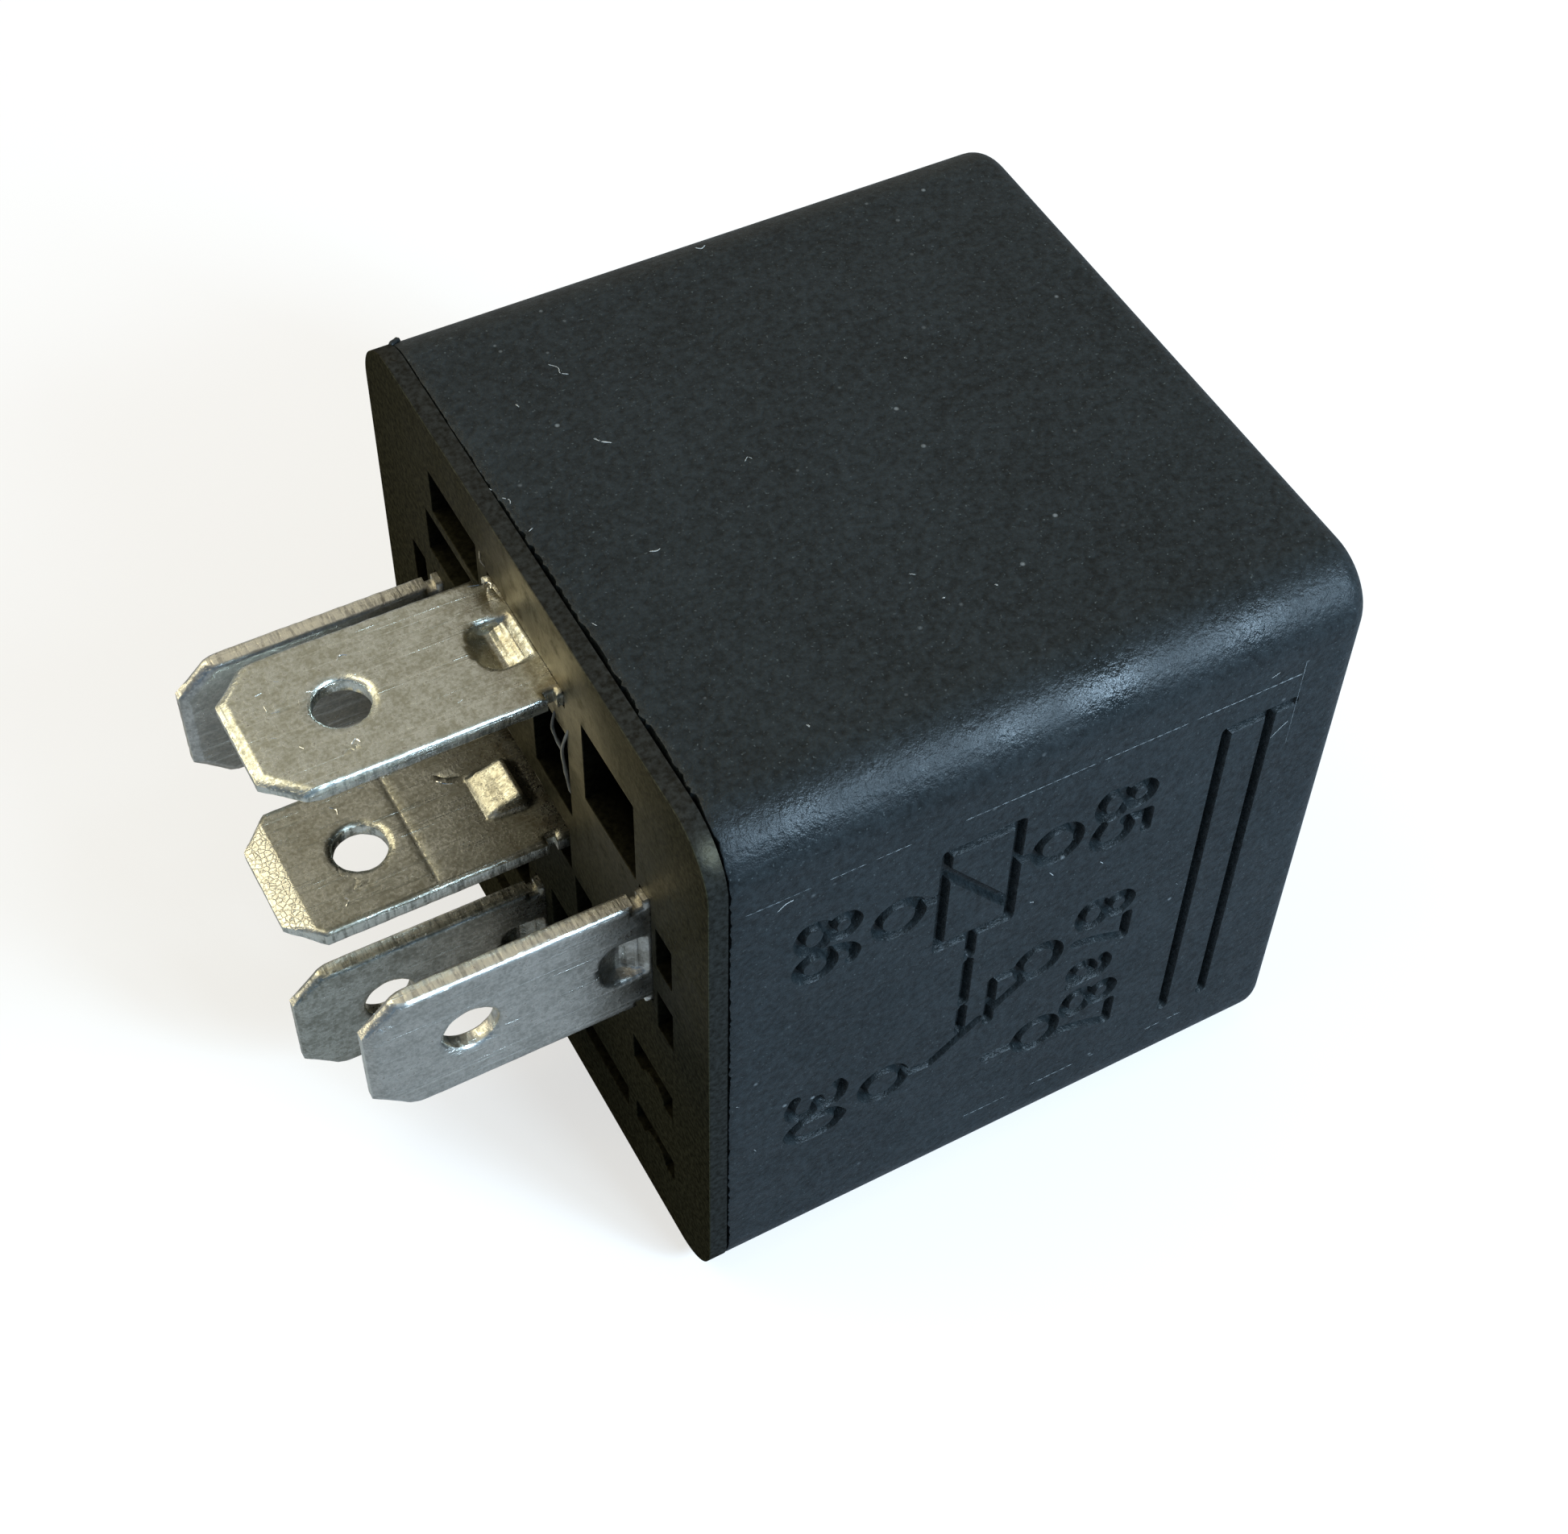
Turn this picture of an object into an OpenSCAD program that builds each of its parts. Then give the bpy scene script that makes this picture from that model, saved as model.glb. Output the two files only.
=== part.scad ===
// Plug-in changeover relay with five flat blades, lying on its side.
// The blades point to -X, the closed top of the cover to +X, and +Z is up.
// Cross-sections are written as [y, z] with z counted from the middle of the housing.

/* [Housing] */
// Width of the housing across Y
body_w = 28; // [27:0.1:32]
// Height of the housing as it lies, along Z
body_h = 28.5; // [27.5:0.1:32]
// Length from the blade side of the base to the closed top
body_l = 26.8; // [26.2:0.1:32]
// Radius of the four long edges
corner_r = 2.5; // [2:0.1:3.5]
// Radius of the edges round the closed top
top_edge_r = 1; // [0.4:0.1:1.6]
// Wall of the cover
cover_wall = 1.3; // [0.9:0.05:1.5]
// Thickness of the base rim that shows below the cover
rim_t = 0.75; // [0.5:0.05:1.2]
// Gap at the joint between base rim and cover
joint_gap = 0.1; // [0.05:0.01:0.2]
// Thickness of the base down to its inner floor
base_t = 4; // [3.8:0.1:4.4]
// Depth of the cored pockets in the blade side of the base
pocket_depth = 2.3; // [1.5:0.1:2.4]
// Depth of the marking grooves in the cover
groove_depth = 0.25; // [0.1:0.05:0.4]
// Width of the marking grooves
groove_w = 0.32; // [0.2:0.02:0.5]

/* [Blades] */
// Width of a blade
blade_w = 6.3; // [5.8:0.1:6.6]
// Thickness of the blades and of the strips that grow from them
blade_t = 0.8; // [0.6:0.05:0.9]
// Length of a blade outside the base
blade_l = 10.75; // [9.5:0.05:13]
// Diameter of the detent hole
hole_d = 2.1; // [1.5:0.1:2.6]
// Distance from the blade tip to the centre of the detent hole
hole_from_tip = 3.85; // [3.2:0.05:4.4]
// Corner cut of the blade tip
tip_cut = 1.25; // [0.8:0.05:1.6]
// Length of the coined bevel at the tip
bevel_l = 1; // [0.6:0.05:1.4]
// Thickness left at the very tip
tip_t = 0.4; // [0.3:0.05:0.5]
// Width of the stop dimple at the root
dimple_w = 2.6; // [2:0.1:3]
// Depth of the stop dimple
dimple_depth = 0.6; // [0.3:0.05:0.65]

/* [Blade places] */
// Distance of blade 87 from the upper side of the housing
top_87 = 3.5; // [3.2:0.05:3.9]
// Distance of blade 30 from the lower side of the housing
bottom_30 = 6.4; // [6:0.05:6.8]
// Height of blade 87a over the middle of the housing
z_87a = 1.2; // [0.9:0.05:1.5]
// Sideways place of blade 87a
y_87a = 0.95; // [0.6:0.05:1.2]
// Sideways place of blade 30
y_30 = 0.65; // [0.3:0.05:1]
// Height of blade 85 over the middle
z_85 = 3.55; // [3.3:0.05:3.7]
// Sideways place of blade 85
y_85 = -9.2; // [-9.5:0.05:-9]
// Height of blade 86 over the middle
z_86 = 2.55; // [2.4:0.05:2.9]
// Sideways place of blade 86
y_86 = 8.5; // [8.4:0.05:8.9]

/* [Magnet] */
// Wall of the yoke
yoke_t = 1.6; // [1.2:0.05:1.9]
// Width of the yoke and of the armature at its hinge
yoke_w = 13; // [11:0.1:14]
// Thickness of a former flange
flange_t = 1; // [0.7:0.05:1.3]
// Half width of the former flanges
flange_r = 7.2; // [6.8:0.05:7.3]
// Outer radius of the winding
winding_r = 6.4; // [5.6:0.05:6.5]
// Outer radius of the former's barrel
barrel_r = 3.6; // [3.3:0.05:4]
// Radius of the core
core_r = 2.9; // [2.4:0.05:3]
// Radius of the pole disc
pole_r = 4.4; // [4:0.1:5]
// Thickness of the pole disc
pole_t = 1.2; // [0.8:0.05:1.4]
// Thickness of the armature
armature_t = 1.4; // [1.1:0.05:1.5]
// Angle between the armature at rest and pulled in
stroke_deg = 3; // [2:0.1:3.2]

/* [Contacts] */
// Thickness of the contact spring
spring_t = 0.3; // [0.2:0.02:0.4]
// Width of the contact spring on the yoke
spring_w = 8; // [7:0.1:9]
// Distance of the contacts below blade 87
contact_drop = 3.25; // [2.9:0.05:3.6]
// Radius of a contact head
contact_r = 1.5; // [1.2:0.05:1.6]
// Height of a contact head
contact_h = 0.8; // [0.6:0.05:0.9]
// Room between the break contact's riveted end and the cover
end_room = 0.5; // [0.2:0.05:0.8]
// Radius of the coil leads
lead_r = 0.18; // [0.12:0.01:0.22]

/* [Hidden] */
$fn = 48;

eps = 0.01;                    // overshoot of a cut past a face
fit = 0.05;                    // running clearance of a close fit, on each side
mid_z = body_h / 2;            // middle of the housing
shift_x = (blade_l - body_l) / 2;   // base face, so that the origin lies under the middle
cover_x = rim_t + joint_gap;   // open edge of the cover
plug_gap = 0.1;                // between the base plug and the cover's inside
z_87 = mid_z - top_87;         // height of blade 87 over the middle
z_30 = bottom_30 - mid_z;      // height of blade 30, under the middle

// the magnet stands on the foot of terminal 30
foot_x = base_t;               // underside of terminal 30's foot
yoke_x = foot_x + blade_t;     // underside of the yoke
former_x = yoke_x + yoke_t;    // underside of the former
foot_margin = 0.7;             // the yoke's leg stands this far outside blade 30
yoke_z = z_30 - blade_w / 2 - foot_margin;   // outer face of the yoke's leg
hinge_z = yoke_z + yoke_t / 4; // where the armature tips on the yoke's end
coil_gap = 0.4;                // between the former's flanges and the yoke's leg
coil_z = yoke_z + yoke_t + coil_gap + flange_r;   // axis of the coil
contact_z = z_87 - contact_drop;
contact_reach = contact_z - hinge_z;     // from the hinge to the contacts
air = 0.03;                    // between armature and pole when pulled in
tail_h = 0.15;                 // riveted end of a contact

// the room from the pole face out to the break contact's riveted end sets the former's length
contact_top = air + armature_t + spring_t + contact_h;
throw = lift([contact_reach + contact_r, contact_top])[1] + air;
former_l = body_l - cover_wall - end_room - tail_h - blade_t - contact_h - throw - pole_t - former_x;
pole_x = former_x + former_l + pole_t;   // pole face, level with the yoke's end
arm_x = pole_x + air;          // underside of the armature when pulled in
spring_x = arm_x + armature_t; // underside of the spring when pulled in
core_tail_r = core_r - 0.7;    // stepped end riveted into the yoke
rivet_r = 0.7;                 // shank of the armature and terminal rivets
rivet_head_r = 1.15;           // their heads
rivet_head_h = 0.45;
arm_rivet_y = 2;               // half spacing of the armature rivets
arm_rivet_z = hinge_z + 6;
leg_rivet_y = 2.6;             // half spacing of the yoke rivets
leg_rivet_x = yoke_x + 7;
shank_r = 0.85;                // shank of the contact rivets

// the fixed contacts stand at the two ends of the moving contact's travel
make_face = spring_x - contact_h - air;
make_tab_x = make_face - contact_h - blade_t;
break_arm_x = pole_x + throw + contact_h;
break_z = hinge_z + lift([contact_reach, contact_top])[0];

strip_y0 = y_87a + blade_w / 2 + 0.4;    // side strip of terminal 87a, clear of blade 87
strip_w = 3.2;
foot_87a_h = 2.2;              // height of its foot over blade 87a
contact_tab_r = contact_r + 0.7;         // half width of a tab that carries a contact

// a point [distance from the hinge along the armature, height over the pole face]
// once the armature is let go
function lift(p) = [
    p[0] * cos(stroke_deg) - p[1] * sin(stroke_deg),
    p[1] * cos(stroke_deg) + p[0] * sin(stroke_deg)
];

// ---- helpers ----

// puts a shape drawn in [y, z] and standing on x = 0 into the housing
module stand(x = 0) {
    translate([shift_x + x, 0, mid_z]) rotate([90, 0, 90]) children();
}

// a box given by its lowest and highest x, y and z in the housing
module block(x, y, z) {
    translate([shift_x + x[0], y[0], mid_z + z[0]]) cube([x[1] - x[0], y[1] - y[0], z[1] - z[0]]);
}

// rectangle with round corners, round the origin
module round_rect(w, h, r) {
    square([w - 2 * r, h], center = true);
    square([w, h - 2 * r], center = true);
    for (y = [-1, 1], z = [-1, 1]) translate([y * (w / 2 - r), z * (h / 2 - r)]) circle(r);
}

// upright outline with its two upper corners rounded
module domed_side(w, h, r) {
    translate([-w / 2, 0]) square([w, h - r]);
    translate([-w / 2 + r, 0]) square([w - 2 * r, h]);
    for (s = [-1, 1]) translate([s * (w / 2 - r), h - r]) circle(r);
}

// block with round long edges and a rounded edge round its top
module rounded_block(w, h, l, r, top_r) {
    translate([0, h / 2 - r, 0]) rotate([90, 0, 0]) linear_extrude(h - 2 * r) domed_side(w, l, top_r);
    translate([-w / 2 + r, 0, 0]) rotate([90, 0, 90]) linear_extrude(w - 2 * r) domed_side(h, l, top_r);
    for (y = [-1, 1], z = [-1, 1])
        translate([y * (w / 2 - r), z * (h / 2 - r), 0]) rotate_extrude() {
            square([r, l - top_r]);
            square([r - top_r, l]);
            translate([r - top_r, l - top_r]) circle(top_r);
            }
}

// riveted pin along +Z from z = 0: flat end, shank and head
module rivet(length, r, head_r, head_h) {
    cylinder(h = length + eps, r = r);
    translate([0, 0, length]) cylinder(h = head_h, r1 = head_r, r2 = head_r * 0.75);
}

// head of a contact along +Z with a crowned edge
module contact_head() {
    crown = 0.25;
    cylinder(h = contact_h - crown, r = contact_r);
    translate([0, 0, contact_h - crown]) cylinder(h = crown, r1 = contact_r, r2 = contact_r - 0.45);
}

// contact riveted through a strip along +Z: tail, shank and head
module fixed_contact() {
    translate([0, 0, -tail_h]) cylinder(h = tail_h, r1 = shank_r + 0.2, r2 = shank_r + 0.35);
    translate([0, 0, -eps]) cylinder(h = blade_t + 2 * eps, r = shank_r);
    translate([0, 0, blade_t]) contact_head();
}

// ---- cover ----

// the two ruled fields beside the closed top: their long edges and short ends
field_x = [body_l - 5.8, body_l - 3.85];
field_z = [-9.2, 8.85];

module cover() {
    inner_r = corner_r - min(cover_wall, corner_r - 0.5);
    groove_y = [-body_w / 2 - eps, -body_w / 2 + groove_depth];
    color("#23282a")
    difference() {
        stand(cover_x) rounded_block(body_w, body_h, body_l - cover_x, corner_r, top_edge_r);
        stand(cover_x - eps) linear_extrude(body_l - cover_x - cover_wall + eps)
            round_rect(body_w - 2 * cover_wall, body_h - 2 * cover_wall, inner_r);
        for (x = field_x)
            block([x - groove_w / 2, x + groove_w / 2], groove_y, field_z);
        block([field_x[0], body_l - 2.8], groove_y, [field_z[1] - groove_w / 2, field_z[1] + groove_w / 2]);
    }
}

// ---- base ----

// a pocket sunk in the blade side, given by its lowest and highest y and z
module pocket(y, z) {
    block([-eps, pocket_depth], y, z);
}

// pocket like a bridge, with its two feet towards the lower edge
module bridge_pocket(y, z) {
    difference() {
        pocket(y, z);
        translate([shift_x - 2 * eps, (y[0] + y[1]) / 2, mid_z + z[0]]) rotate([0, 90, 0])
            scale([0.75, 1, 1]) cylinder(h = pocket_depth + 3 * eps, r = (y[1] - y[0]) * 0.26);
    }
}

// a slot through the base for a blade lying flat or on edge
module slot(y, z, flat) {
    w = (flat ? blade_w : blade_t) / 2 + fit;
    h = (flat ? blade_t : blade_w) / 2 + fit;
    block([-1, base_t + 1], [y - w, y + w], [z - h, z + h]);
}

side_pocket_w = 1.25;
side_pocket_h = 2.4;
side_pocket_pitch = 4;

// two small pockets on the outer side of a coil blade, one above the other round z
module side_pockets(y, z, side, rib) {
    near = y + side * (blade_t / 2 + rib);
    far = near + side * side_pocket_w;
    for (s = [-0.5, 0.5]) {
        middle = z + s * side_pocket_pitch;
        pocket([min(near, far), max(near, far)], [middle - side_pocket_h / 2, middle + side_pocket_h / 2]);
    }
}

module base() {
    plug_w = body_w - 2 * (cover_wall + plug_gap);
    plug_h = body_h - 2 * (cover_wall + plug_gap);
    strip_y1 = strip_y0 + strip_w;
    strip_top = z_87 + blade_t / 2;
    strip_wall_l = 9;
    strip_wall_t = 0.95;
    pad_w = 2.8;
    pad_y = (yoke_w - pad_w) / 2;
    color("#2b2a27")
    difference() {
        union() {
            stand() linear_extrude(rim_t) round_rect(body_w, body_h, corner_r);
            stand(eps) linear_extrude(base_t - eps)
                round_rect(plug_w, plug_h, corner_r - min(cover_wall, corner_r - 0.5));
            // pads under the free side of the yoke's foot
            for (s = [-1, 1])
                block([base_t - eps, yoke_x], [s * pad_y - pad_w / 2, s * pad_y + pad_w / 2],
                      [coil_z - pad_w / 2, coil_z + pad_w / 2]);
            // wall behind the two contact strips
            block([base_t - eps, base_t + strip_wall_l], [-blade_w / 2, strip_y1],
                  [strip_top + fit, strip_top + fit + strip_wall_t]);
        }
        slot(0, z_87, true);
        slot(y_87a, z_87a, true);
        slot(y_30, z_30, false);
        slot(y_85, z_85, false);
        slot(y_86, z_86, false);
        // bed of terminal 87a's foot in the inner floor
        block([base_t - blade_t, base_t + 1], [y_87a - blade_w / 2 - fit, strip_y1 + fit],
              [z_87a - blade_t / 2 - fit, z_87a + foot_87a_h + fit]);
        block([base_t - blade_t, base_t + 1], [strip_y0 - fit, strip_y1 + fit],
              [z_87a, z_87 + blade_t / 2 + fit]);
        // sunk seat above blade 87a
        block([-eps, 0.5], [y_87a - blade_w / 2 - 0.6, y_87a + blade_w / 2 + 0.5],
              [z_87a - blade_t / 2 - 0.5, z_87a + blade_t / 2 + 1.2]);
        // cored pockets beside blade 87
        pocket([-8.55, -4.5], [z_87 - 4.1, z_87 + 0.15]);
        pocket([-3.2, -0.1], [z_87 - 6.7, z_87 - 1.95]);
        pocket([4.1, 8.3], [z_87 - 1.25, z_87 + 0.95]);
        pocket([4.1, 9.1], [z_87 - 4, z_87 - 1.75]);
        side_pockets(y_85, z_85 - 1.2, -1, 0.35);
        side_pockets(y_86, z_86 - 0.3, 1, 0.9);
        // pockets on the side of blade 30
        pocket([-4.5, -3], [z_87a - 3.45, z_87a - 1.05]);
        pocket([y_30 - 2.7, y_30 - 1.1], [z_30 + 1.25, z_30 + 4]);
        pocket([y_30 + 1.1, y_30 + 2.7], [z_30 + 0.65, z_30 + 3.05]);
        for (s = [-1, 1]) {
            bridge_pocket(s > 0 ? [7.7, 11] : [-11, -7.7], [z_30 + 1.7, z_30 + 3.4]);
            bridge_pocket(s > 0 ? [7.7, 11] : [-11, -7.7], [z_30 - 2.9, z_30 - 1.45]);
            pocket(s > 0 ? [3.2, 7] : [-7, -3], [z_30 - 3.1, z_30 - 1.6]);
        }
    }
}

// ---- terminals ----

// plan of the stop dimple: round towards the tip, straight at the base
dimple_x = [-2.2, -0.12];

// the stop dimple between its skin and the height top above the blade's face
module dimple(top) {
    round_r = dimple_w / 2;
    intersection() {
        rotate([90, 0, 0]) linear_extrude(dimple_w, center = true)
            polygon([[dimple_x[0], 0], [dimple_x[0] / 2, -dimple_depth], [-0.7, -dimple_depth],
                     [-0.45, -dimple_depth / 4], [dimple_x[1], 0], [dimple_x[1], top], [dimple_x[0], top]]);
        translate([0, 0, -1]) linear_extrude(3) {
            translate([dimple_x[0] + round_r, 0]) circle(round_r);
            translate([dimple_x[0] + round_r, -round_r])
                square([dimple_x[1] - dimple_x[0] - round_r, 2 * round_r]);
        }
    }
}

// flat blade along -X, pressed down at its root, and the strip that goes on from it to x = inner
module blade(inner, inner_w = blade_w) {
    tip = -blade_l;
    w = blade_w / 2;
    t = blade_t / 2;
    neck_x = base_t - blade_t;
    notch_x = [-0.6, -0.25];
    notch = 0.3;
    difference() {
        union() {
            intersection() {
                rotate([90, 0, 0]) linear_extrude(blade_w + 2, center = true)
                    polygon([[tip, -tip_t / 2], [tip + bevel_l, -t], [inner, -t],
                             [inner, t], [tip + bevel_l, t], [tip, tip_t / 2]]);
                linear_extrude(2 * blade_t, center = true)
                    for (s = [-1, 1]) scale([1, s])
                        polygon([[tip, 0], [tip, w - tip_cut], [tip + tip_cut, w], [notch_x[0], w],
                                 [notch_x[0], w - notch], [notch_x[1], w - notch], [notch_x[1], w],
                                 [neck_x, w], [neck_x, inner_w / 2], [inner, inner_w / 2], [inner, 0]]);
            }
            translate([0, 0, -t]) dimple(eps);
        }
        translate([0, 0, t]) dimple(blade_t);
        translate([tip + hole_from_tip, 0, -blade_t]) cylinder(h = 2 * blade_t, r = hole_d / 2);
    }
}

// puts a blade at its place [y, z] and turns it about its own length
module blade_at(y, z, turn) {
    translate([shift_x, y, mid_z + z]) rotate([turn, 0, 0]) children();
}

module terminal_87() {
    color("#b9b39d") {
        difference() {
            union() {
                blade_at(0, z_87, 0) blade(make_tab_x + blade_t, 2 * contact_tab_r);
                block([make_tab_x, make_tab_x + blade_t], [-contact_tab_r, contact_tab_r],
                      [contact_z - contact_tab_r, z_87]);
            }
            stand(make_tab_x - eps) translate([0, contact_z]) cylinder(h = blade_t + 2 * eps, r = shank_r);
        }
    }
}

module terminal_87a() {
    strip_y1 = strip_y0 + strip_w;
    foot = [base_t - blade_t, base_t];
    arm = [break_arm_x, break_arm_x + blade_t];
    color("#b9b39d") {
        difference() {
            union() {
                blade_at(y_87a, z_87a, 180) blade(base_t);
                block(foot, [y_87a - blade_w / 2, strip_y1], [z_87a - blade_t / 2, z_87a + foot_87a_h]);
                block(foot, [strip_y0, strip_y1], [z_87a, z_87 + blade_t / 2]);
                block([foot[0], arm[1]], [strip_y0, strip_y1], [z_87 - blade_t / 2, z_87 + blade_t / 2]);
                block(arm, [strip_y0, strip_y1], [break_z - contact_tab_r, z_87 + blade_t / 2]);
                block(arm, [0, strip_y1], [break_z - contact_tab_r, break_z + contact_tab_r]);
                stand(arm[0]) translate([0, break_z]) cylinder(h = blade_t, r = contact_tab_r);
            }
            stand(arm[0] - eps) translate([0, break_z]) cylinder(h = blade_t + 2 * eps, r = shank_r);
        }
    }
}

foot_30_w = 5.4;
foot_rivet = [y_30 + foot_30_w - blade_t / 2 - 1.8, z_30 - 0.6];

module terminal_30() {
    color("#b9b39d")
    difference() {
        union() {
            blade_at(y_30, z_30, 90) blade(yoke_x);
            block([foot_x, yoke_x], [y_30 - blade_t / 2, y_30 - blade_t / 2 + foot_30_w],
                  [z_30 - blade_w / 2, z_30 + blade_w / 2]);
        }
        stand(foot_x - eps) translate(foot_rivet) cylinder(h = blade_t + 2 * eps, r = rivet_r);
    }
}

lead_x = former_x + flange_t + 0.8;      // the leads leave the winding just above its lower flange
post_w = 2.5;
post_neck = 0.9;
neck_l = 2.1;
lead_turn_r = 0.8;             // radius of a lead's turns round its post

// blade of the coil, with a post inside whose neck takes the lead
module coil_terminal(y, z, turn) {
    color("#c2bea9") {
        blade_at(y, z, turn) {
            blade(lead_x - neck_l / 2, post_w);
            translate([lead_x - neck_l / 2 - eps, -post_neck / 2, -blade_t / 2])
                cube([neck_l, post_neck, blade_t]);
        }
    }
}

module terminal_85() {
    coil_terminal(y_85, z_85, 90);
}

module terminal_86() {
    coil_terminal(y_86, z_86, -90);
}

// ---- magnet ----

module coil_former() {
    color("#e9e4d4")
    stand(former_x) translate([0, coil_z]) difference() {
        union() {
            cylinder(h = former_l, r = barrel_r);
            for (x = [0, former_l - flange_t])
                translate([0, 0, x]) linear_extrude(flange_t) round_rect(2 * flange_r, 2 * flange_r, 1.6);
        }
        translate([0, 0, -eps]) cylinder(h = former_l + 2 * eps, r = core_r + fit);
    }
}

module winding() {
    color("#a5541f")
    stand(former_x + flange_t + fit) translate([0, coil_z]) difference() {
        cylinder(h = former_l - 2 * flange_t - 2 * fit, r = winding_r);
        translate([0, 0, -eps]) cylinder(h = former_l, r = barrel_r + 0.02);
    }
}

module core() {
    color("#8f9396")
    stand(yoke_x) translate([0, coil_z]) {
        cylinder(h = yoke_t + eps, r = core_tail_r);
        translate([0, 0, yoke_t]) cylinder(h = former_l + eps, r = core_r);
        translate([0, 0, yoke_t + former_l]) cylinder(h = pole_t, r = pole_r);
    }
}

module yoke() {
    foot_top = coil_z + core_tail_r + 0.9;
    color("#9a9d9f")
    difference() {
        union() {
            block([yoke_x, former_x], [-yoke_w / 2, yoke_w / 2], [yoke_z + yoke_t / 2, foot_top]);
            block([yoke_x + yoke_t / 2, pole_x], [-yoke_w / 2, yoke_w / 2], [yoke_z, yoke_z + yoke_t]);
            // outside of the bend
            translate([shift_x + yoke_x + yoke_t / 2, yoke_w / 2, mid_z + yoke_z + yoke_t / 2])
                rotate([90, 0, 0]) cylinder(h = yoke_w, r = yoke_t / 2);
        }
        stand(yoke_x - eps) {
            translate([0, coil_z]) cylinder(h = yoke_t + 2 * eps, r = core_tail_r);
            translate(foot_rivet) cylinder(h = yoke_t + 2 * eps, r = rivet_r);
        }
        for (s = [-1, 1])
            translate([shift_x + leg_rivet_x, s * leg_rivet_y, mid_z + yoke_z - eps])
                cylinder(h = yoke_t + 2 * eps, r = rivet_r);
    }
}

// puts what is drawn in [x, y, distance from the hinge] with the armature pulled in at its place at rest
module let_go() {
    translate([shift_x + pole_x, 0, mid_z + hinge_z]) rotate([0, stroke_deg, 0])
        translate([-pole_x, 0, 0]) children();
}

// the same for a plate drawn in [y, distance from the hinge] that stands on x
module let_go_plate(x) {
    let_go() translate([x, 0, 0]) rotate([90, 0, 90]) children();
}

module armature() {
    nose_r = pole_r + 0.3;
    nose_u = coil_z - hinge_z;
    shoulder_u = 4;
    edge = 0.5;
    color("#a7aaac")
    difference() {
        let_go_plate(arm_x) linear_extrude(armature_t) {
            translate([0, nose_u]) circle(nose_r);
            polygon([[-yoke_w / 2, 0], [yoke_w / 2, 0], [yoke_w / 2, shoulder_u],
                     [nose_r, shoulder_u + 1.5], [nose_r, nose_u], [-nose_r, nose_u],
                     [-nose_r, shoulder_u + 1.5], [-yoke_w / 2, shoulder_u]]);
        }
        // outer edge taken off where the spring passes round it
        let_go() translate([spring_x, 0, 0]) rotate([0, 45, 0])
            cube([edge * sqrt(2), yoke_w + 2, edge * sqrt(2)], center = true);
        let_go_plate(arm_x - eps) for (s = [-1, 1])
            translate([s * arm_rivet_y, arm_rivet_z - hinge_z])
                cylinder(h = armature_t + 2 * eps, r = rivet_r);
    }
}

module armature_rivets() {
    color("#b4b7b8")
    let_go_plate(arm_x) for (s = [-1, 1])
        translate([s * arm_rivet_y, arm_rivet_z - hinge_z])
            rivet(armature_t + spring_t, rivet_r, rivet_head_r, rivet_head_h);
}

module yoke_rivets() {
    color("#b4b7b8")
    for (s = [-1, 1])
        translate([shift_x + leg_rivet_x, s * leg_rivet_y, mid_z + yoke_z + yoke_t]) rotate([180, 0, 0])
            rivet(yoke_t + spring_t, rivet_r, rivet_head_r, rivet_head_h);
}

module terminal_rivet() {
    color("#b4b7b8")
    stand(foot_x) translate(foot_rivet) cylinder(h = blade_t + yoke_t, r = rivet_r);
}

// ---- contacts ----

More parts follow.
